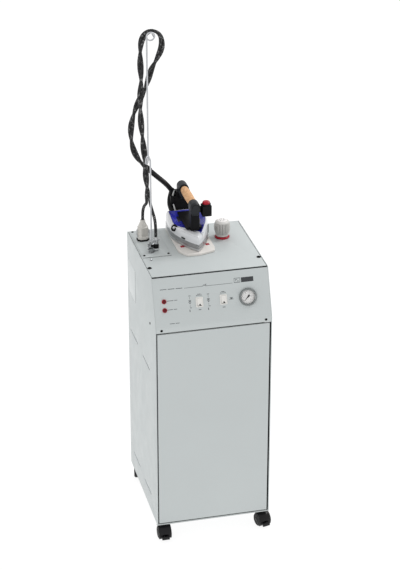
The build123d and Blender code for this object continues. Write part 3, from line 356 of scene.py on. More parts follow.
def smooth_by_angle(mesh, angle):
    """Smooth faces, with edges sharper than an angle kept sharp."""
    work = bmesh.new()
    work.from_mesh(mesh)
    limit = math.radians(angle)
    for face in work.faces:
        face.smooth = True
    for edge in work.edges:
        edge.smooth = len(edge.link_faces) == 2 and edge.calc_face_angle(0) < limit
    work.to_mesh(mesh)
    work.free()


def rings_mesh(rings, caps=True, looped=False):
    """Vertices and faces of a skin over equal rings of points. looped joins the last ring to the first."""
    count = len(rings[0])
    vertices = [point for ring in rings for point in ring]
    faces = []
    for row in range(len(rings) - (not looped)):
        a, b = row * count, (row + 1) % len(rings) * count
        faces += [(a + i, a + (i + 1) % count, b + (i + 1) % count, b + i) for i in range(count)]
    if caps:
        last = (len(rings) - 1) * count
        faces += [tuple(range(count - 1, -1, -1)), tuple(range(last, last + count))]
    return vertices, faces


class Place:
    """A place to build at: an origin in the row frame and three directions."""

    def __init__(self, origin, x_dir, z_dir):
        self.origin = Vector(origin)
        self.z = Vector(z_dir).normalized()
        self.x = (Vector(x_dir) - self.z * Vector(x_dir).dot(self.z)).normalized()
        self.y = self.z.cross(self.x)

    def __call__(self, x, y, z):
        return self.origin + (self.x * x + self.y * y + self.z * z) * MM

    def moved(self, x, y, z):
        """The same directions at another origin."""
        return Place(self(x, y, z), self.x, self.z)

    def spun(self, turn):
        """The same origin and z direction, with x and y turned about z."""
        return Place(self.origin, self.x * math.cos(turn) + self.y * math.sin(turn), self.z)


def lathe(place, profile, segments=64, ripple=None):
    """Vertices and faces of a turned shape. profile is (radius, height) pairs."""
    rings = []
    for radius, height in profile:
        ring = []
        for i in range(segments):
            turn = 2 * math.pi * i / segments
            r = radius * (ripple(turn, height) if ripple else 1.0)
            ring.append(place(r * math.cos(turn), r * math.sin(turn), height))
        rings.append(ring)
    return rings_mesh(rings)


def add_bevel(obj, width_mm, segments=3, angle=30.0):
    """Rounds an object's edges and smooths it, with the result kept in its mesh."""
    work = bmesh.new()
    work.from_mesh(obj.data)
    limit = math.radians(angle)
    edges = [e for e in work.edges if len(e.link_faces) == 2 and e.calc_face_angle(0) > limit]
    bmesh.ops.bevel(
        work,
        geom=edges,
        offset=width_mm * MM,
        offset_type="OFFSET",
        segments=segments,
        profile=0.5,
        affect="EDGES",
        clamp_overlap=True,
    )
    work.to_mesh(obj.data)
    work.free()
    smooth_by_angle(obj.data, 32)


def softened(node, width_mm, made, body="root", segments=2):
    """A copy of a CAD node with rounded edges, standing for it."""
    work = bmesh.new()
    work.from_mesh(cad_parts[node].data)
    bmesh.ops.remove_doubles(work, verts=work.verts, dist=2e-6)
    bmesh.ops.dissolve_limit(work, angle_limit=math.radians(0.5), verts=work.verts, edges=work.edges)
    bmesh.ops.recalc_face_normals(work, faces=work.faces)
    vertices = [v.co.copy() for v in work.verts]
    work.verts.index_update()
    faces = [[v.index for v in f.verts] for f in work.faces]
    work.free()
    obj = piece_from("soft_" + node, vertices, faces, made, node, body, smooth=0)
    add_bevel(obj, width_mm, segments, angle=40.0)


def paint_node(node, made):
    """Gives a CAD node its material."""
    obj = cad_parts[node]
    obj.data.materials.clear()
    obj.data.materials.append(made)


def baked_mesh(obj):
    """The mesh that a text or a curve makes. The object itself is removed."""
    bpy.context.scene.collection.objects.link(obj)
    graph = bpy.context.evaluated_depsgraph_get()
    mesh = bpy.data.meshes.new_from_object(obj.evaluated_get(graph))
    bpy.data.objects.remove(obj)
    return mesh


def spline_line(name, points):
    """The route's NURBS line, read back as close points. The points are its control points."""
    curve = bpy.data.curves.new(name, "CURVE")
    curve.dimensions = "3D"
    spline = curve.splines.new("NURBS")
    spline.points.add(len(points) - 1)
    for control, point in zip(spline.points, points):
        control.co = (*point, 1.0)
    spline.order_u = 3
    spline.use_endpoint_u = True
    spline.resolution_u = 12
    mesh = baked_mesh(bpy.data.objects.new(name, curve))
    line = [vertex.co.copy() for vertex in mesh.vertices]
    bpy.data.meshes.remove(mesh)
    return line


def distances(line):
    """How far along a line each of its points lies."""
    lengths = [0.0]
    for a, b in zip(line, line[1:]):
        lengths.append(lengths[-1] + (b - a).length)
    return lengths


def even(line, step):
    """Points a step apart along a line."""
    lengths = distances(line)
    total = lengths[-1]
    count = max(2, round(total / step))
    points, at_piece = [], 0
    for i in range(count + 1):
        want = total * i / count
        while at_piece < len(lengths) - 2 and lengths[at_piece + 1] < want:
            at_piece += 1
        run = lengths[at_piece + 1] - lengths[at_piece]
        share = (want - lengths[at_piece]) / run if run > 0 else 0.0
        points.append(line[at_piece].lerp(line[at_piece + 1], min(1.0, max(0.0, share))))
    return points


def carried_frames(line, start_side):
    """Directions along a line and a side direction carried along it without twisting."""
    frames = []
    side = Vector(start_side)
    for i in range(len(line)):
        before, after = line[max(0, i - 1)], line[min(len(line) - 1, i + 1)]
        along = (after - before).normalized()
        side = (side - along * side.dot(along)).normalized()
        frames.append((along, side.copy()))
    return frames


def tube_along(name, line, diameter, made, body, sides=14, radius_at=None, start_side=(1, 0, 0)):
    """A mesh tube along close points, with its length and girth in the UV map named cord."""
    rings, lengths = [], distances(line)
    for point, (along, side), length in zip(line, carried_frames(line, start_side), lengths):
        up = along.cross(side)
        radius = diameter / 2 * (radius_at(length) if radius_at else 1.0)
        ring = []
        for k in range(sides):
            turn = 2 * math.pi * k / sides
            ring.append(point + (side * math.cos(turn) + up * math.sin(turn)) * radius)
        rings.append(ring)
    vertices, faces = rings_mesh(rings)
    obj = piece_from(name, vertices, faces, made, body=body, smooth=60)
    layer = obj.data.uv_layers.new(name="cord")
    girth = math.pi * diameter
    for poly in obj.data.polygons:
        keys = [obj.data.loops[loop].vertex_index for loop in poly.loop_indices]
        wraps = max(k % sides for k in keys) == sides - 1 and min(k % sides for k in keys) == 0
        for loop, key in zip(poly.loop_indices, keys):
            around = key % sides
            if wraps and around == 0:
                around = sides
            layer.data[loop].uv = (lengths[key // sides] / girth, around / sides)
    return obj


# ---- cabinet ---------------------------------------------------------------------------
for name in ("left_side_panel", "right_side_panel", "top_panel", "rear_panel", "control_panel"):
    softened(name, 0.7, paint)
softened("connection_plate", 0.5, paint)
softened("door", 1.0, paint, "door_body", segments=3)
softened("base_tray", 0.5, paint_inside)
softened("door_latch", 0.5, black, "latch_body")
for node, made in {
    "door_gasket": rubber,
    "hinge_pins": zinc,
    "heating_element": zinc,
    "solenoid_valve": brass,
    "steam_pipes": zinc,
    "steam_valve": brass,
    "mast_rod": rod_metal,
}.items():
    paint_node(node, made)
softened("water_tank", 6.0, tank_white, segments=4)
softened("water_pump", 2.0, black)

UP = Place(at(0, 0, 0), (1, 0, 0), (0, 0, 1))
FRONT = Place(at(0, -HALF_DEPTH, 0), (1, 0, 0), (0, -1, 0))
LEFT = Place(at(-HALF_WIDTH, 0, 0), (0, -1, 0), (-1, 0, 0))
# The control panel's face, from its upper edge: x across, y up the slope.
SLOPE = Place(at(0, -145.5, 892.8), (1, 0, 0), (0, -140.8, 54.5))


def boxes(name, made, places, node=None, body="root"):
    """Many thin boxes as one piece. Each is a place and its x, y and z limits in millimetres."""
    vertices, faces = [], []
    for place, (x0, x1), (y0, y1), (z0, z1) in places:
        first = len(vertices)
        corners = ((x0, y0), (x1, y0), (x1, y1), (x0, y1))
        vertices += [place(x, y, z) for z in (z0, z1) for x, y in corners]
        quads = ((3, 2, 1, 0), (4, 5, 6, 7), (0, 1, 5, 4), (1, 2, 6, 5), (2, 3, 7, 6), (3, 0, 4, 7))
        faces += [tuple(first + i for i in quad) for quad in quads]
    return piece_from(name, vertices, faces, made, node, body, smooth=0)


def turned(name, place, profile, made, node=None, body="root", segments=64, ripple=None):
    """A turned piece."""
    vertices, faces = lathe(place, profile, segments, ripple)
    return piece_from(name, vertices, faces, made, node, body)


def ring_piece(name, place, profile, made, node=None, body="root", segments=64):
    """A turned piece with a hole through it: the closed profile goes right round."""
    rings = []
    for i in range(segments):
        turn = 2 * math.pi * i / segments
        rings.append([place(r * math.cos(turn), r * math.sin(turn), h) for r, h in profile])
    vertices, faces = rings_mesh(rings, caps=False, looped=True)
    return piece_from(name, vertices, faces, made, node, body)


def round_box(name, place, size, edge, made, node=None):
    """A box with rounded edges, centred on a place in x and y and standing on it in z."""
    width, depth, height = size
    limits = ((-width / 2, width / 2), (-depth / 2, depth / 2), (0, height))
    add_bevel(boxes(name, made, [(place, *limits)], node), edge)


def prism(name, place, outline, z0, z1, made, node=None, body="root", edge=0.0, segments=3):
    """A flat outline given thickness, with its edges rounded where edge says how far."""
    rings = [[place(x, y, z) for x, y in outline] for z in (z0, z1)]
    vertices, faces = rings_mesh(rings)
    obj = piece_from(name, vertices, faces, made, node, body, smooth=30)
    if edge:
        add_bevel(obj, edge, segments)
    return obj


def six_sided(turn, height):
    """Ripple that makes a turned shape six-sided."""
    return math.cos(math.pi / 6) / math.cos(turn % (math.pi / 3) - math.pi / 6)


def rounded_rectangle(width, height, radius, steps=5):
    """Points round a rectangle with round corners."""
    points = []
    for cx, cy, start in ((1, 1, 0), (-1, 1, 90), (-1, -1, 180), (1, -1, 270)):
        for i in range(steps + 1):
            turn = math.radians(start + 90 * i / steps)
            x = cx * (width / 2 - radius) + radius * math.cos(turn)
            y = cy * (height / 2 - radius) + radius * math.sin(turn)
            points.append((x, y))
    return points


def screw_heads(name, places, radius, height, node):
    """Domed black screw heads, each with a round recess."""
    vertices, faces = [], []
    profile = (
        (radius, 0), (radius, height * 0.3), (radius * 0.9, height * 0.72), (radius * 0.7, height),
        (radius * 0.5, height), (radius * 0.46, height * 0.3),
    )
    for place in places:
        more, sides = lathe(place, profile, 36)
        first = len(vertices)
        vertices += more
        faces += [tuple(first + i for i in side) for side in sides]
    return piece_from(name, vertices, faces, screw_black, node)


screw_heads("top_screw_heads", [UP.moved(side * 169, -78, TOP_Z) for side in (-1, 1)], 6.6, 2.4, "top_screws")
small_places = [UP.moved(x, y, PLATE_Z) for x, y in ((-166, 9), (-91, 9), (-165, 188), (-91, 188))]
small_places += [FRONT.moved(side * 161, 744, 0) for side in (-1, 1)]
small_places += [Place(at(side * HALF_WIDTH, -128, 737), (0, 1, 0), (side, 0, 0)) for side in (-1, 1)]
screw_heads("small_screw_heads", small_places, 3.9, 1.6, "small_screws")

# Black strips in the gaps where sheets meet, as painted shade: the valley above the control panel, the top's
# two sides, the plate's edge.
gap_shade_strips = [
    (UP, (-177, 177), (-144.9, -141.0), (891.8, 893.6)),
    (UP, (-177, -164), (-145.2, -140.9), (893.0, 894.2)),
    (UP, (164, 177), (-145.2, -140.9), (893.0, 894.2)),
    (UP, (-177.4, -176.1), (-140, 198), (890.0, 893.6)),
    (UP, (176.1, 177.4), (-140, 198), (890.0, 893.6)),
    (UP, (-172, -85), (-4.9, -4.1), (895.05, 895.6)),
]
boxes("seam_gap_shade", black, gap_shade_strips)
plate = rounded_rectangle(105, 108, 3)
rating = LEFT.moved(-137.5, 756, 0)
prism("rating_plate", rating, plate, 0.02, 0.5, label, edge=0.15, segments=2)
boxes("rating_plate_edge", print_grey, [
    (LEFT, (-85.2, -84.6), (704, 808), (0.02, 0.45)),
    (LEFT, (-189, -86), (701.4, 702), (0.02, 0.45)),
])
# Black strips set in the door's gaps: painted shade in the gaps.
boxes("door_gap_shade", black, [
    (UP, (-177.3, -177.0), (-198.5, -184), (72, 733)),
    (UP, (177.0, 177.3), (-198.5, -184), (72, 733)),
    (UP, (-174.5, 172), (-197.5, -184), (735.2, 735.7)),
    (UP, (-174.5, 172), (-197.5, -184), (67.1, 67.5)),
])

# ---- control panel ---------------------------------------------------------------------
# The switches' places across the panel, and how far the switches and the gauge lie down its slope.
ROCKERS = {"left": -39.5, "right": 34.5}
ROW_DROP = 84


def mark(x0, x1, drop0, drop1):
    """A printed bar on the sloping panel."""
    return (SLOPE, (x0, x1), (-drop1 - 0.25, -drop0 + 0.25), (0.02, 0.14))


dark_marks = [mark(93, 131, 24, 38)]
pale_marks = [
    mark(71, 72, 24, 38), mark(89, 90, 24, 38), mark(71, 90, 24, 25), mark(71, 90, 37, 38),
    mark(75, 81, 28, 29.2), mark(75, 76.2, 28, 33), mark(80, 86, 33, 34.2),
    mark(-156, -136, 35.2, 36.6), mark(-132, -112, 35.6, 37), mark(-108, -88, 36, 37.4),
    mark(-82, -27, 37.6, 38.2), mark(-12, 66, 37.6, 38.2),
    mark(-138, -118, 70.4, 71.6), mark(-115, -106, 70.4, 71.6),
    mark(-138, -122, 97, 98.2), mark(-119, -109, 97, 98.2),
    mark(-135, -120, 139, 140.2), mark(-117, -105, 139, 140.2),
]
zigzag = ((-27, 37.9), (-21, 33.5), (-19.5, 36.5), (-14.5, 31.2), (-16.5, 37.9), (-12, 37.9))
STEPS = 6
for (x0, d0), (x1, d1) in zip(zigzag, zigzag[1:]):
    run = (x1 - x0) / STEPS
    for i in range(STEPS):
        x, d = x0 + run * i, d0 + (d1 - d0) * i / STEPS
        pale_marks.append(mark(min(x, x + run) - 0.3, max(x, x + run) + 0.3, d - 0.4, d + 0.4))
for x in ROCKERS.values():
    pale_marks += [mark(x - 5, x + 5, 59.5, 61), mark(x - 8, x - 6.8, 62, 65), mark(x + 6.8, x + 8, 62, 65)]
    pale_marks += [mark(x - 8, x + 8, 63.6, 64.2), mark(x - 4, x + 4, 106, 107.6)]
for x in (ROCKERS["left"] - 29, ROCKERS["left"] + 28):
    pale_marks += [
        mark(x - 3.5, x + 3.5, 62, 63.2), mark(x - 0.4, x + 0.4, 65, 73), mark(x - 4, x + 4, 76, 77),
        mark(x - 3, x + 3, 78, 79.5), mark(x - 4.5, x + 4.5, 81, 82), mark(x - 2, x + 2, 84, 86),
        mark(x - 0.4, x + 0.4, 89, 100), mark(x + 1, x + 5, 98, 99.2), mark(x - 3, x - 0.5, 104, 110),
    ]
pale_marks += [mark(54, 64, 80, 81), mark(56, 62, 82, 84.2), mark(52.5, 65.5, 85, 86)]
boxes("panel_print_dark", print_dark, dark_marks)
boxes("panel_print_pale", print_grey, pale_marks)

for drop in (72, 98):
    lamp = SLOPE.moved(-146.5, -drop, 0)
    rim = ((5.4, 0), (7.0, 0), (7.0, 1.5), (6.4, 2.4), (5.6, 2.5), (5.4, 2.0))
    ring_piece("lamp_rim", lamp, rim, red, "indicator_lamps", segments=40)
    dome = ((5.5, -16), (5.5, 1.2), (5.0, 2.2), (3.6, 3.0), (1.6, 3.4), (0.4, 3.45))
    turned("lamp_lens", lamp, dome, lamp_red, "indicator_lamps", segments=40)


def framed(name, place, outer, inner, heights, made):
    """A rounded frame with an opening. outer and inner are width, height and corner radius."""
    low, high = heights
    loops = []
    for (width, height, radius), level, inset in (
        (outer, low, 0), (outer, high - 0.5, 0), (outer, high, 0.5),
        (inner, high, -0.4), (inner, high - 0.4, 0), (inner, low, 0),
    ):
        outline = rounded_rectangle(width - 2 * inset, height - 2 * inset, max(0.2, radius - inset))
        loops.append([place(x, y, level) for x, y in outline])
    vertices, faces = rings_mesh(loops + [loops[0]], caps=False)
    piece_from(name, vertices, faces, made, "switch_frames")


TILT = math.radians(-7)
for name, x in ROCKERS.items():
    rocker = "rocker_" + name
    opening = SLOPE.moved(x, -ROW_DROP, 0)
    framed("rocker_frame", opening, (22, 30, 1.5), (15.2, 23, 1.0), (0.0, 2.0), white_switch)
    framed("rocker_well", opening, (19.2, 27.2, 0.8), (15.0, 22.8, 0.8), (-22.0, 0.0), black)
    softened(rocker, 0.6, white_switch, rocker + "_body")
    pivot = opening.moved(0, 0, -3)
    tilted = Place(pivot.origin, pivot.x, pivot.z * math.cos(TILT) - pivot.y * math.sin(TILT))
    face = Place(tilted(0, -8.8, 8.1), pivot.x, tilted.z + tilted.y * 0.13)
    dot = ((2.2, -1.4), (2.2, 0.5), (1.8, 0.7), (0.3, 0.7))
    turned("rocker_dot", face, dot, black, rocker, rocker + "_body", 24)

# ---- pressure gauge --------------------------------------------------------------------
gauge = SLOPE.moved(110, -ROW_DROP, 0)
bezel = (
    (20.9, -2.0), (24.2, -2.0), (26.7, 0.02), (26.8, 2.6), (26.2, 4.3), (25.0, 5.0),
    (23.8, 4.8), (22.9, 3.8), (21.8, 3.5), (20.9, 2.9),
)
ring_piece("gauge_bezel", gauge, bezel, gunmetal, "gauge_case", segments=96)
can = ((24.2, -2.0), (24.2, -30.5), (23.0, -32), (8, -32), (7, -31.6), (2, -31.6))
turned("gauge_can", gauge, can, gunmetal, "gauge_case", segments=64)
card = ((20.8, -1.5), (20.8, -0.6), (20.6, -0.5), (2.2, -0.5), (2.0, -0.1), (1.5, 1.6), (0.5, 1.7))
turned("gauge_card", gauge, card, dial_card, "gauge_dial", segments=72)


def dial_turn(share):
    """The direction on the dial at a share of its scale, from lower left round to lower right."""
    return math.radians(225 - 270 * share)


ticks = []
for i in range(51):
    long_tick = i % 10 == 0
    width = 0.28 if long_tick else 0.14
    start = 14.6 if long_tick else 16.0
    ticks.append((gauge.spun(dial_turn(i / 50)), (start, 17.6), (-width, width), (-0.46, -0.38)))
boxes("gauge_ticks", print_dark, ticks)
NUMBER_R = 11.8
for i in range(6):
    turn = dial_turn(i / 5)
    text = bpy.data.curves.new("dial_number", "FONT")
    text.body = str(2 * i)
    text.size = 3.4 * MM
    text.align_x = "CENTER"
    text.align_y = "CENTER"
    flat = baked_mesh(bpy.data.objects.new("dial_number", text))
    centre = gauge.moved(NUMBER_R * math.cos(turn), NUMBER_R * math.sin(turn), -0.42)
    points = [centre(v.co.x / MM, v.co.y / MM, 0) for v in flat.vertices]
    sides = [tuple(p.vertices) for p in flat.polygons]
    piece_from("dial_number_" + str(i), points, sides, print_dark, smooth=0)
    bpy.data.meshes.remove(flat)

needle = gauge.spun(dial_turn(0))
half_blade = ((15.4, 0.3), (3, 0.7), (-2, 1.9), (-7.5, 1.7))
blade = half_blade + tuple((x, -y) for x, y in reversed(half_blade))
prism("needle_blade", needle, blade, 0.5, 1.1, black, "gauge_needle", "needle_body")
boss = ((2.2, 0.3), (2.2, 1.3), (1.8, 1.75), (0.5, 1.85))
turned("needle_boss", needle, boss, black, "gauge_needle", "needle_body", 32)
glass = ((0.4, 2.95), (20.5, 2.95), (20.8, 2.95), (20.8, 3.3), (14, 3.5), (7, 3.6), (0.4, 3.62))
turned("gauge_window", gauge, glass, gauge_glass, "gauge_case", segments=64)

# ---- steam knob ------------------------------------------------------------------------
knob = UP.moved(98, 92, TOP_Z + 7)
KNOB_R = 25.05
KNOB_WIDEST = 28
KNOB_RIBS = 30
KNOB_ROWS = 21


def knob_ribs(turn, height):
    """Ribs round the knob's sides, fading out at its foot and its crown."""
    fade = min(1.0, max(0.0, (height - 3) / 4)) * min(1.0, max(0.0, (46 - height) / 5))
    return 1.0 - 0.085 * fade * (0.5 - 0.5 * math.cos(KNOB_RIBS * turn)) ** 2


knob_sides = []
for i in range(1, KNOB_ROWS + 1):
    z = 3 + 43 * i / KNOB_ROWS
    share = (z - KNOB_WIDEST) / 25
    knob_sides.append((KNOB_R - (5.6 * share * share if share < 0 else 8.2 * share ** 2.2), z))
knob_foot = [(9.5, 0), (19.6, 0), (20.4, 0.8), (20.6, 3)]
knob_crown = [(18.0, 47.6), (16.4, 48.8), (15.6, 49.2), (15.2, 48.7), (0.6, 48.7)]
knob_profile = knob_foot + knob_sides + knob_crown
turned("knob_grip", knob, knob_profile, knob_white, "steam_knob", "knob_body", 300, knob_ribs)
# A darker skin just inside the ribs, seen only in the valleys between them: painted shade in the valleys.
valley_shade_profile = [(radius * 0.955, z) for radius, z in knob_sides]
turned("knob_valley_shade", knob, valley_shade_profile, knob_shadow, "steam_knob", "knob_body", 96)
disc = ((15.0, 48.8), (15.0, 49.7), (14.4, 50.0), (0.5, 50.0))
turned("knob_disc", knob, disc, dial_card, "steam_knob", "knob_body", 64)
knob_marks = []
for turn in range(40, 360, 60):
    knob_marks.append((knob.spun(math.radians(turn)), (4.6, 10), (-0.9, 0.9), (50.0, 50.12)))
boxes("knob_marks", print_dark, knob_marks, "steam_knob", "knob_body")
collar = ((10.6, -6.9), (22.4, -6.9), (23.0, -6.3), (23.0, -3.4), (22.2, -1.8), (20.6, -1.0), (10.6, -1.0))
ring_piece("knob_base_ring", knob, collar, red, "knob_ring", segments=72)

# ---- connections on the plate ----------------------------------------------------------
MAST = (-139.5, 30)
mast = UP.moved(*MAST, PLATE_Z)
socket = (
    (2.7, 4), (2.7, 1), (9.3, 0.02), (9.4, 2.0), (8.6, 3.2), (6.6, 3.6), (6.4, 9), (8.0, 9.6), (8.0, 15.2),
    (7.0, 16), (5.6, 16.4), (5.6, 19), (8.0, 19.6), (8.0, 29), (7.2, 29.8), (5.4, 30.2), (5.2, 33),
    (7.0, 33.6), (7.0, 38.6), (6.2, 39.8), (2.7, 40.0),
)
ring_piece("mast_ferrule", mast, socket, chrome, "mast_socket", segments=56)
nut = ((6.0, 9.9), (8.3, 10.1), (8.3, 14.9), (6.0, 15.1))
turned("mast_nut", mast, nut, chrome, "mast_socket", segments=48, ripple=six_sided)
knurl = ((8.05, 20), (8.25, 20.6), (8.25, 28), (8.05, 28.6), (7.9, 28.6), (7.9, 20))
ring_piece("mast_dark_band", mast, knurl, black, "mast_socket", segments=48)

thumb = Place(mast(0, 0, 24), (0, 0, 1), (-1, -1, 0))
stem = ((2.4, 2.9), (2.4, 9), (4.5, 9.2), (4.5, 14.4), (4.0, 15), (0.6, 15.2))
turned("thumbscrew_stem", thumb, stem, chrome, "mast_thumbscrew", "thumbscrew_body", 36)
wing = ((2, -3), (8, -5.2), (11, -3.6), (11, 3.6), (8, 5.2), (2, 3))
wings = wing + tuple((-x, -y) for x, y in wing)
across = Place(thumb(0, -1.4, 14.2), (0, 0, 1), thumb.y)
prism("thumbscrew_wings", across, wings, 0, 2.8, chrome, "mast_thumbscrew", "thumbscrew_body", edge=0.9)

outlet = UP.moved(-123, 41, PLATE_Z)
foot = ((5, 0.02), (8.2, 0.02), (8.95, 0.8), (8.95, 7.2), (8.2, 8), (5, 8))
turned("outlet_foot", outlet, foot, zinc, "outlet_union", segments=72, ripple=six_sided)
body_profile = ((6, 8), (8.6, 8.2), (9.4, 9.4), (9.4, 18.2), (8.6, 19.6), (6, 20))
turned("outlet_body", outlet, body_profile, black, "outlet_union", segments=48)
nut = ((5, 20), (7.4, 20), (7.95, 20.7), (7.95, 27.3), (7.4, 28), (5, 28))
turned("outlet_nut", outlet, nut, chrome, "outlet_union", segments=72, ripple=six_sided)
barb = [(5.0, 28)]
for i in range(5):
    barb += [(5.5, 28.4 + 3.2 * i), (4.8, 31.2 + 3.2 * i)]
barb.append((4.2, 44.5))
turned("outlet_barb", outlet, barb, zinc, "outlet_union", segments=40)
band = ((5.65, 31.2), (6.6, 31.2), (6.8, 31.6), (6.8, 39.4), (6.6, 39.8), (5.65, 39.8))
ring_piece("clamp_band", outlet, band, zinc, "hose_clamp", segments=48)
round_box("clamp_housing", outlet.moved(9.0, 0, 31.8), (6, 7.6, 7.4), 0.8, zinc, "hose_clamp")
clamp_screw = Place(outlet(9.2, -3.8, 35.5), (1, 0, 0), (0, -1, 0))
screw = ((2.6, 0), (2.6, 2.2), (2.1, 2.8), (0.7, 2.8))
turned("clamp_screw", clamp_screw, screw, zinc, "hose_clamp", segments=30, ripple=six_sided)

softened("plug_socket", 0.8, black)
plug = UP.moved(-145, 127, PLATE_Z + 4)


def plug_ring(x, y, cut, z):
    """An eight-sided ring: a rectangle from -x to x and -y to y with its corners cut."""
    half = [(x, cut - y), (x, y - cut), (x - cut, y), (cut - x, y)]
    return [plug(u, v, z) for u, v in half + [(-u, -v) for u, v in half]]


plug_rings = [plug_ring(*ring) for ring in (
    (15.6, 14.2, 7.5, 0.1), (16.4, 15.0, 8, 1.0), (16.4, 15.0, 8, 9), (15.0, 13.6, 7.4, 10),
    (15.0, 13.6, 7.4, 36), (16.0, 14.6, 8, 37.2), (16.0, 14.6, 8, 40), (13.0, 12.4, 7.2, 42),
    (12.4, 11.8, 7, 46), (8.6, 8.6, 5, 54), (7.6, 7.6, 4.4, 56), (7.4, 7.4, 4.3, 62), (6.8, 6.8, 4, 63),
)]
vertices, faces = rings_mesh(plug_rings)
plug_shell = piece_from("plug_shell", vertices, faces, plug_grey, "plug_body", smooth=0)
add_bevel(plug_shell, 0.5, 2, 20)
ribs = []
for side in (-1, 1):
    for i in range(-2, 3):
        x, y = 2.8 * i, 2.4 * i
        ribs.append((plug, (x - 0.7, x + 0.7), sorted((side * 13.5, side * 14.6)), (12, 35)))
        ribs.append((plug, sorted((side * 14.9, side * 16.0)), (y - 0.6, y + 0.6), (12, 35)))
plug_ribs = boxes("plug_ribs", plug_grey, ribs, "plug_body")
plug_clips = []
for side in (-1, 1):
    half = [(16.4, -6, 8), (19.4, -6, 14), (20.0, -6, 24), (17.6, -6, 30)]
    path = half + [(x, -y, z) for x, y, z in reversed(half)]
    line = even(spline_line("clip_line", [plug(side * x, y, z) for x, y, z in path]), 0.0015)
    plug_clips.append(tube_along("plug_clip", line, 0.0020, zinc, "root", sides=10, start_side=(0, 1, 0.3)))
    stands_for(plug_clips[-1], "plug_body")

stud = ((3.4, 0.02), (3.4, 1.4), (2.8, 2.0), (2.4, 3.6), (1.4, 4.6), (0.4, 4.9))
turned("plate_stud", UP.moved(-152, -24, TOP_Z), stud, chrome, segments=32)

# ---- cords -----------------------------------------------------------------------------
def metres(points):
    """Route points, in metres from the cabinet's centre line, in the row frame."""
    return [Vector(p) + CENTRE for p in points]


HOSE_D = 0.0095
PITCH = 0.176
PAIR = metres([
    (-0.1365, 0.084, 1.050), (-0.142, 0.070, 1.085), (-0.149, 0.053, 1.140),
    (-0.1525, 0.047, 1.200), (-0.160, 0.045, 1.270), (-0.165, 0.045, 1.345),
    (-0.164, 0.045, 1.400), (-0.1605, 0.045, 1.445), (-0.1625, 0.045, 1.490),
    (-0.163, 0.045, 1.535), (-0.1585, 0.045, 1.568), (-0.147, 0.045, 1.588),
    (-0.128, 0.045, 1.595), (-0.109, 0.046, 1.588), (-0.098, 0.047, 1.569),
    (-0.097, 0.049, 1.538), (-0.110, 0.052, 1.508), (-0.128, 0.057, 1.473),
    (-0.137, 0.062, 1.435), (-0.152, 0.067, 1.394), (-0.174, 0.070, 1.352),
    (-0.187, 0.071, 1.304), (-0.190, 0.071, 1.258), (-0.182, 0.071, 1.217),
    (-0.166, 0.072, 1.183), (-0.151, 0.073, 1.166), (-0.131, 0.076, 1.145),
])
SLEEVE = metres([
    (-0.131, 0.076, 1.145), (-0.113, 0.0787, 1.1261), (-0.091, 0.108, 1.099),
    (-0.069, 0.143, 1.070), (-0.049, 0.178, 1.040), (-0.036, 0.202, 1.019),
])
pair_rise = (PAIR[1] - PAIR[0]).normalized()
lead_side = pair_rise.cross(Vector((0, 0, 1))).normalized() * (HOSE_D / 2)
CABLE_LEAD = metres([
    (-0.145, 0.127, 0.9635), (-0.145, 0.127, 0.985), (-0.144, 0.119, 1.006),
    (-0.1415, 0.106, 1.022),
])
HOSE_LEAD = metres([
    (-0.123, 0.041, 0.941), (-0.123, 0.041, 0.966), (-0.123, 0.049, 0.993),
    (-0.127, 0.062, 1.014),
])
pair_line = even(spline_line("pair_line", PAIR), 0.004)


def strand(lead, side):
    """One cord from its fitting, up its lead and round its partner to the sleeve."""
    joined = PAIR[0] + lead_side * side
    approach = lead + [joined - pair_rise * 0.020, joined]
    line = even(spline_line("lead_line", approach), 0.004)
    frames = carried_frames(pair_line, lead_side)
    wound = []
    for point, (along, across), run in zip(pair_line, frames, distances(pair_line)):
        turn = 2 * math.pi * run / PITCH
        up = along.cross(across)
        offset = across * math.cos(turn) + up * math.sin(turn)
        wound.append(point + offset * side * (HOSE_D / 2))
    whole = line[:-1] + wound[1:]
    eased = [whole[0]]
    for a, b, c in zip(whole, whole[1:], whole[2:]):
        eased.append(a * 0.25 + b * 0.5 + c * 0.25)
    eased.append(whole[-1])
    return eased


cable_line = strand(CABLE_LEAD, 1)
hose_line = strand(HOSE_LEAD, -1)
steam_cable = tube_along("steam_cable", cable_line, HOSE_D, braid, "root")
steam_hose = tube_along("steam_hose", hose_line, HOSE_D, braid, "root")
stands_for(steam_cable, "cable_lead", "cord_pair")
stands_for(steam_hose, "hose_lead", "cord_pair")

sleeve_line = even(spline_line("sleeve_line", SLEEVE), 0.003)
iron_sleeve = tube_along(
    "iron_sleeve", sleeve_line, 0.0155, rubber, None, sides=24,
    radius_at=lambda length: 0.86 + 0.14 * min(1.0, length / 0.006),
)
stands_for(iron_sleeve, "cord_sleeve")
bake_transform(iron_sleeve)


# ---- iron ------------------------------------------------------------------------------
IRON_X = -3.0
SOLE_Z = TOP_Z + 8.2
AXIS_Z = SOLE_Z + 128.0


def arc_through(a, b, c, count):
    """Points on the arc from a to c through b."""
    (ax, ay), (bx, by), (cx, cy) = a, b, c
    d = 2 * (ax * (by - cy) + bx * (cy - ay) + cx * (ay - by))
    sa, sb, sc = ax * ax + ay * ay, bx * bx + by * by, cx * cx + cy * cy
    ox = (sa * (by - cy) + sb * (cy - ay) + sc * (ay - by)) / d
    oy = (sa * (cx - bx) + sb * (ax - cx) + sc * (bx - ax)) / d
    radius = math.hypot(ax - ox, ay - oy)
    start = math.atan2(ay - oy, ax - ox)
    end = math.atan2(cy - oy, cx - ox)
    sweep = (end - start + math.pi) % (2 * math.pi) - math.pi
    turns = [start + sweep * i / count for i in range(count)]
    return [(ox + radius * math.cos(t), oy + radius * math.sin(t)) for t in turns]


def iron_plan():
    """The iron's pointed outline, anticlockwise from its tip."""
    right = arc_through((0, -19), (33, 29), (60, 108), 24)
    right += arc_through((60, 108), (60, 150), (58, 184), 12) + [(58, 184)]
    left = [(-x, y) for x, y in reversed(right[1:])]
    return [(IRON_X + x, y) for x, y in right + left]


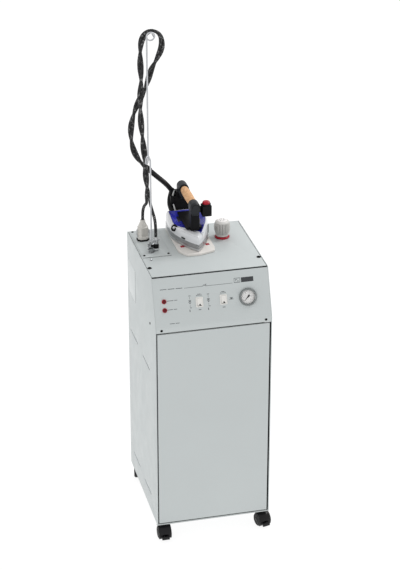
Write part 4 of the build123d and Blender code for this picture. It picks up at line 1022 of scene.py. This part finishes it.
def resampled(points, count):
    """Evenly spaced points round a closed outline."""
    ring = points + [points[0]]
    runs = [math.dist(a, b) for a, b in zip(ring, ring[1:])]
    total = sum(runs)
    out, piece, gone = [], 0, 0.0
    for i in range(count):
        want = total * i / count
        while gone + runs[piece] < want:
            gone += runs[piece]
            piece += 1
        share = (want - gone) / runs[piece]
        (ax, ay), (bx, by) = ring[piece], ring[piece + 1]
        out.append((ax + (bx - ax) * share, ay + (by - ay) * share))
    return out


def rounded(points, passes):
    """A closed outline with its corners eased."""
    for _ in range(passes):
        following = points[1:] + points[:1]
        previous = points[-1:] + points[:-1]
        points = [
            ((ax + 2 * bx + cx) / 4, (ay + 2 * by + cy) / 4)
            for (ax, ay), (bx, by), (cx, cy) in zip(previous, points, following)
        ]
    return points


def inset_ring(points, amount):
    """A closed anticlockwise outline moved inward."""
    count = len(points)
    out = []
    for i, (x, y) in enumerate(points):
        (ax, ay), (bx, by) = points[i - 1], points[(i + 1) % count]
        run = math.hypot(bx - ax, by - ay)
        out.append((x - (by - ay) / run * amount, y + (bx - ax) / run * amount))
    return out


def shrunk(points, share):
    """An outline scaled about its middle."""
    mx = sum(x for x, y in points) / len(points)
    my = sum(y for x, y in points) / len(points)
    return [(mx + (x - mx) * share, my + (y - my) * share) for x, y in points]


# The slanting line where the nose hood ends: a point on it and the direction to its rear.
HOOD_END = (-66, 92)
HOOD_REARWARD = (0.7155, 0.6985)


def behind(point):
    """How far a point lies behind the hood's line."""
    return (point[0] - HOOD_END[0]) * HOOD_REARWARD[0] + (point[1] - HOOD_END[1]) * HOOD_REARWARD[1]


def cut(points, keep_side, gap):
    """The part of an outline on one side of the hood's line, a gap away from it."""
    out = []
    for a, b in zip(points, points[1:] + points[:1]):
        fa, fb = keep_side * behind(a) - gap, keep_side * behind(b) - gap
        if fa >= 0:
            out.append(a)
        if (fa >= 0) != (fb >= 0):
            t = fa / (fa - fb)
            out.append((a[0] + (b[0] - a[0]) * t, a[1] + (b[1] - a[1]) * t))
    return out


EDGE_LOW = 950.5
EDGE_RISE = 11.0
RISE_START, RISE_RUN = 2, 45


def edge_height(point):
    """The height of the shell's upper edge: low by the hood, rising to the rear."""
    share = min(1.0, max(0.0, (behind(point) - RISE_START) / RISE_RUN))
    return EDGE_LOW + EDGE_RISE * share * share * (3 - 2 * share)


def skin(name, rings, made, node, closed=False):
    """A skin of the iron over rings of (x, y, z) points."""
    placed = [[UP(*p) for p in ring] for ring in rings]
    if closed:
        placed.append(placed[0])
    vertices, faces = rings_mesh(placed, caps=not closed)
    return piece_from(name, vertices, faces, made, node, "iron", smooth=38)


def flat_ring(points, z):
    """An outline at one height."""
    return [(x, y, z) for x, y in points]


plan = rounded(resampled(iron_plan(), 200), 2)
skin("sole_plate", [flat_ring(inset_ring(plan, i), z) for i, z in (
    (3.0, SOLE_Z), (0.8, 903.5), (0.1, 904.6), (0.0, 909.8), (0.5, 910.8), (1.6, 911.2), (13, 911.25),
)], satin, "iron_soleplate")
core = inset_ring(plan, 14.5)
skin("sole_core", [flat_ring(core, z) for z in (911.2, 928, 931)], boiler_steel, "iron_soleplate")
band_rings = [flat_ring(inset_ring(plan, i), z) for i, z in (
    (0.9, 911.5), (0.35, 912.2), (0.3, 925.0), (0.8, 925.6), (3.0, 925.6), (3.0, 911.5),
)]
skin("silver_band", band_rings, silver_band, "iron_body", closed=True)

rear_plan = rounded(resampled(cut(plan, 1, 0.0), 220), 3)
SHELL_FOOT = 925.8


def shell_ring(inset, below_edge):
    """A ring of the shell at a drop below its upper edge."""
    return [(x, y, edge_height(p) - below_edge) for p, (x, y) in zip(rear_plan, inset_ring(rear_plan, inset))]


shell_rings = [flat_ring(inset_ring(rear_plan, 1.0), SHELL_FOOT)]
for inset, below_edge in (
    (0.8, 20), (1.5, 12), (3.4, 5.5), (5.8, 1.7), (7.4, 0.2), (8.6, 0.3), (9.2, 1.4), (9.2, 9), (4, 19),
):
    shell_rings.append(shell_ring(inset, below_edge))
shell_rings.append(flat_ring(inset_ring(rear_plan, 3.8), SHELL_FOOT))
skin("iron_shell", shell_rings, shell_white, "iron_body", closed=True)

dish_plan = inset_ring(rear_plan, 9.3)


def dish_ring(share, depth, low=945.0, high=962.4):
    """A ring of the dish: shrunk towards its middle, at a depth below the shell's edge within limits."""
    return [
        (x, y, max(low, min(high, edge_height(p) - depth)))
        for p, (x, y) in zip(rear_plan, shrunk(dish_plan, share))
    ]


def raised(ring, rise):
    """A ring moved up."""
    return [(x, y, z + rise) for x, y, z in ring]


floor_ring = dish_ring(0.68, 4, high=953.2)
inner_floor = dish_ring(0.3, 4.2, high=953.0)
dish_rings = [dish_ring(share, depth) for share, depth in (
    (0.995, 6.0), (1.0, 1.0), (0.99, 0.1), (0.965, 0.1), (0.94, 1.0), (0.74, 7.2),
)]
skin("blue_dish", dish_rings + [floor_ring, inner_floor], shield_blue, "heat_shield")
# A near-black skin over the dish's floor: painted shade inside the dish.
dish_shade_rings = [raised(floor_ring, -0.3), raised(floor_ring, 0.35), raised(inner_floor, 0.5)]
skin("dish_floor", dish_shade_rings, dish_shade_navy, "heat_shield")

hood_plan = rounded(resampled(cut(plan, -1, 0.7), 180), 3)
hood_rings = [
    flat_ring(inset_ring(hood_plan, i), z)
    for i, z in ((0.9, SHELL_FOOT), (0.2, 926.6), (0.1, 938), (0.5, 943), (1.7, 947), (3.4, 949.4))
]
for share, z in ((0.88, 951.0), (0.76, 952.0), (0.55, 952.9), (0.3, 953.3)):
    hood_rings.append(flat_ring(shrunk(hood_plan, share), z))
skin("nose_dome", hood_rings, shell_white, "nose_hood")
hood_side = Place(at(-38.6, 34, 931), (0.43, -0.90, 0), (-0.90, -0.43, 0))
boxes("hood_slot", black, [(hood_side, (-8, 8), (-2.2, 2.2), (-0.8, 1.6))], "nose_hood", "iron")
boxes("hood_seam", print_grey, [(hood_side, (-0.3, 0.3), (-8.4, -3), (0.4, 0.9))], "nose_hood", "iron")
catch = Place(at(-56, 83, 945.5), (0.45, -0.89, 0), (-0.75, -0.30, 0.59))
hook = ((6.4, -3), (10.6, -3), (11.8, 0), (10.6, 3.0), (8.0, 3.6), (6.4, 2.0))
ring_piece("hood_catch", catch, hook, black, "nose_hood", "iron", 36)
pin = ((4.2, -2), (4.2, 2.2), (3.2, 3.4), (0.5, 3.6))
turned("hood_catch_pin", catch, pin, shell_white, "nose_hood", "iron", 28)
shell_side = Place(at(50.6, 79, 931), (0.30, 0.95, 0), (0.95, -0.30, 0))
boxes("shell_slot", print_dark, [(shell_side, (-7, 7), (-9, 15), (-1.0, 0.7))], "iron_body", "iron")

softened("iron_pad", 1.8, silicone, segments=4)
round_box("pad_insert_left", UP.moved(-42.5, 33, 902.2), (11.5, 12, 1.6), 0.5, red)
round_box("pad_insert_right", UP.moved(36.5, 32, 902.2), (11.0, 12, 1.6), 0.5, red)

softened("handle_frame", 1.0, black, "iron")
END_R = 15.9
END_FOOT = 9.5


def handle_end(name, drop, stations):
    """One end of the handle, over rings of (radius, y). Each is round above and narrower at its foot."""
    rings = []
    for radius, y in stations:
        low, foot = drop * radius / END_R, END_FOOT * radius / END_R
        turns = [math.radians(a) for a in range(0, 181, 12)]
        outline = [(radius * math.cos(t), radius * math.sin(t)) for t in turns]
        outline += [(-radius, -low * 0.45), (-foot - 1, -low * 0.8), (-foot, -low)]
        outline += [(foot, -low), (foot + 1, -low * 0.8), (radius, -low * 0.45)]
        rings.append([(IRON_X + x, y, AXIS_Z + z) for x, z in outline])
    skin(name, rings, dark_cap, "handle_frame")


handle_end("handle_front", 27, (
    (9.0, 19.8), (13.4, 20.8), (15.4, 24.0), (END_R, 30), (END_R, 50), (15.2, 54.6), (13.6, 56.2),
))
handle_end("handle_rear", 34, (
    (13.6, 171.8), (15.2, 173.2), (END_R, 178), (END_R, 205), (15.4, 210), (13.4, 212.4), (9.0, 213.2),
))

grip = Place(at(IRON_X, 56.3, AXIS_Z), (1, 0, 0), (0, 1, 0))
GRIP_ROWS = 24
GRIP_LENGTH = 115.0
grip_profile = [(4.2, 0)]
for i in range(GRIP_ROWS + 1):
    share = i / GRIP_ROWS
    eased = 1.0 if i in (0, GRIP_ROWS) else 0.0
    grip_profile.append((12.0 + 1.75 * math.sin(math.pi * share) - eased, 0.2 + GRIP_LENGTH * share))
grip_profile.append((4.2, GRIP_LENGTH + 0.4))
turned("cork_barrel", grip, grip_profile, cork, "cork_grip", "iron", 56)

softened("switch_box", 1.4, black, "iron", segments=3)
button = UP.moved(33.5, 37, SOLE_Z + 129)
collar = ((11.9, 0), (14.2, 0), (14.2, 3.6), (13.2, 5.2), (11.9, 5.2))
ring_piece("button_collar", button, collar, black, "switch_box", "iron", 48)
cap_profile = (
    (3, -11), (3, 3.5), (11.3, 3.6), (11.5, 4.2), (11.5, 9.0), (11.1, 10.8), (9.8, 12.1), (7.2, 12.8),
    (3.5, 13.1), (0.4, 13.15),
)
turned("button_cap", button, cap_profile, red, "steam_button", "button_body", 56)


def iron_tube(name, points, diameter, made, sides):
    """A bent tube at the iron's rear, through points in millimetres."""
    line = even(spline_line(name, [at(*point) for point in points]), 0.003)
    tube = tube_along(name, line, diameter, made, "iron", sides=sides, start_side=(0, 1, 0.2))
    stands_for(tube, "handle_frame")


drop_points = ((-36, 203, 1016), (-39, 207, 1002), (-43, 204, 984), (-44, 193, 968), (-40, 178, 957))
iron_tube("iron_hose_drop", drop_points, 0.0150, rubber, 20)
strap_points = ((-29, 196, 1022), (-36, 193, 1006), (-37, 188, 988), (-33, 184, 972), (-30, 180, 958))
iron_tube("iron_strap", strap_points, 0.0045, switch_grey, 12)
gland_dir = (SLEEVE[-1] - SLEEVE[-2]).normalized()
gland = Place(SLEEVE[-1] + gland_dir * 0.0008, (0, 0, 1), gland_dir)
gland_nut = ((3, 0), (8.6, 0), (9.4, 1), (9.4, 10.6), (8.6, 11.6), (3, 11.6))
ring_piece("gland_nut", gland, gland_nut, black, "handle_frame", "iron", 40)

# ---- casters ---------------------------------------------------------------------------
WHEEL_R = 21.5
WHEEL_TRAIL = 18
CASTER_X, CASTER_Y = 157, 168
TREAD = (
    (3.1, 7.0), (20.4, 7.0), (21.3, 7.6), (WHEEL_R, 8.8), (WHEEL_R, 11.2), (21.2, 11.5), (21.2, 12.0),
    (WHEEL_R, 12.3), (WHEEL_R, 14.4), (20.8, 16.8), (19.2, 18.6), (17.2, 19.5), (15.8, 19.7), (15.2, 19.2),
    (15.0, 17.8), (3.1, 17.8),
)
HUB = (
    (14.8, 17.6), (14.8, 18.6), (14.2, 19.0), (11.4, 19.0), (10.8, 18.4), (7.4, 18.4), (6.6, 19.2),
    (5.2, 20.0), (2.6, 20.2), (0.5, 20.2),
)
for name, (side, end, heading) in {
    "front_left": (-1, -1, 0.0),
    "front_right": (1, -1, 14.0),
    "rear_left": (-1, 1, 168.0),
    "rear_right": (1, 1, 200.0),
}.items():
    swivel = UP.moved(side * CASTER_X, end * CASTER_Y, FLOOR_Z + WHEEL_R).spun(math.radians(heading))
    hub_centre = swivel(0, -WHEEL_TRAIL, 0)
    node, body = "caster_wheels_" + name, "wheels_" + name
    for facing in (-1, 1):
        wheel = Place(hub_centre, (0, 0, 1), swivel.x * facing)
        turned("wheel_tread", wheel, TREAD, tyre, node, body, 72)
        turned("wheel_hub", wheel, HUB, caster_black, node, body, 56)
        spokes = []
        for i in range(6):
            spokes.append((wheel.spun(math.radians(60 * i)), (7, 11.3), (-0.8, 0.8), (18.3, 19.1)))
        boxes("wheel_spokes", caster_black, spokes, node, body)
    softened("caster_hood_" + name, 0.5, caster_black, "swivel_" + name)
for side in ("left", "right"):
    softened("brake_pedal_" + side, 0.6, caster_black, "brake_pedal_" + side + "_body")

# ---- rear fittings and boiler ----------------------------------------------------------
for x, z, radius, bore in ((-110, 118, 8, 5.0), (-40, 118, 9.5, 0.6), (70, 118, 8, 6.0)):
    fitting = Place(at(x, HALF_DEPTH, z), (1, 0, 0), (0, 1, 0))
    inner, chamfer, outer = radius - 1, radius + 4.2, radius + 4.9
    flange = (
        (inner, -6), (inner, 0.2), (chamfer, 0.2), (outer, 1.0), (outer, 7.0), (chamfer, 7.8), (radius, 7.8),
    )
    turned("fitting_nut", fitting, flange, black, "rear_fittings", segments=72, ripple=six_sided)
    valley = radius - 0.7
    tube = [(bore, 21.8), (bore, -8), (radius, -8), (radius, 8)]
    for i in range(5):
        y = 9.4 + 2.4 * i
        tube += [(radius, y), (valley, y + 0.8), (valley, y + 1.4), (radius, y + 2.0)]
    tube.append((radius - 0.6, 21.9))
    ring_piece("fitting_tube", fitting, tube, black, "rear_fittings", segments=48)

paint_node("boiler_tank", boiler_steel)

# ---- floor and light -------------------------------------------------------------------
FLOOR_SIZE = 180.0
floor_mat = finish(
    "floor", (0.16, 0.16, 0.16), 0.85, vary=0.003, blotch=2.0, grain=300, grain_depth=0.00001, specular=0.1
)
set_sockets(shader_of(floor_mat), Emission_Color=(1, 1, 1, 1), Emission_Strength=0.9)
floor_mesh = bpy.data.meshes.new("floor")
corners = [(x * FLOOR_SIZE / 2, y * FLOOR_SIZE / 2, 0) for x, y in ((-1, -1), (1, -1), (1, 1), (-1, 1))]
floor_mesh.from_pydata(corners, [], [(0, 1, 2, 3)])
floor_mesh.materials.append(floor_mat)
floor = bpy.data.objects.new("floor", floor_mesh)
bpy.context.scene.collection.objects.link(floor)

world = bpy.data.worlds.new("studio")
world.use_nodes = True
set_sockets(world.node_tree.nodes["Background"], Color=(1, 1, 1, 1), Strength=0.84)
bpy.context.scene.world = world
bpy.context.scene.view_settings.view_transform = "Standard"


def area_light(name, place, target, size, power):
    """A soft square light aimed at a point."""
    data = bpy.data.lights.new(name, "AREA")
    data.size = size
    data.energy = power
    obj = bpy.data.objects.new(name, data)
    obj.location = place
    aim = Vector(target) - Vector(place)
    obj.rotation_euler = aim.to_track_quat("-Z", "Y").to_euler()
    bpy.context.scene.collection.objects.link(obj)


area_light("key", (2.2, 0.9, 3.4), (0, 0, 0.9), 0.9, 46)
area_light("fill", (-2.8, -2.6, 2.2), (0, 0, 0.7), 2.0, 11)
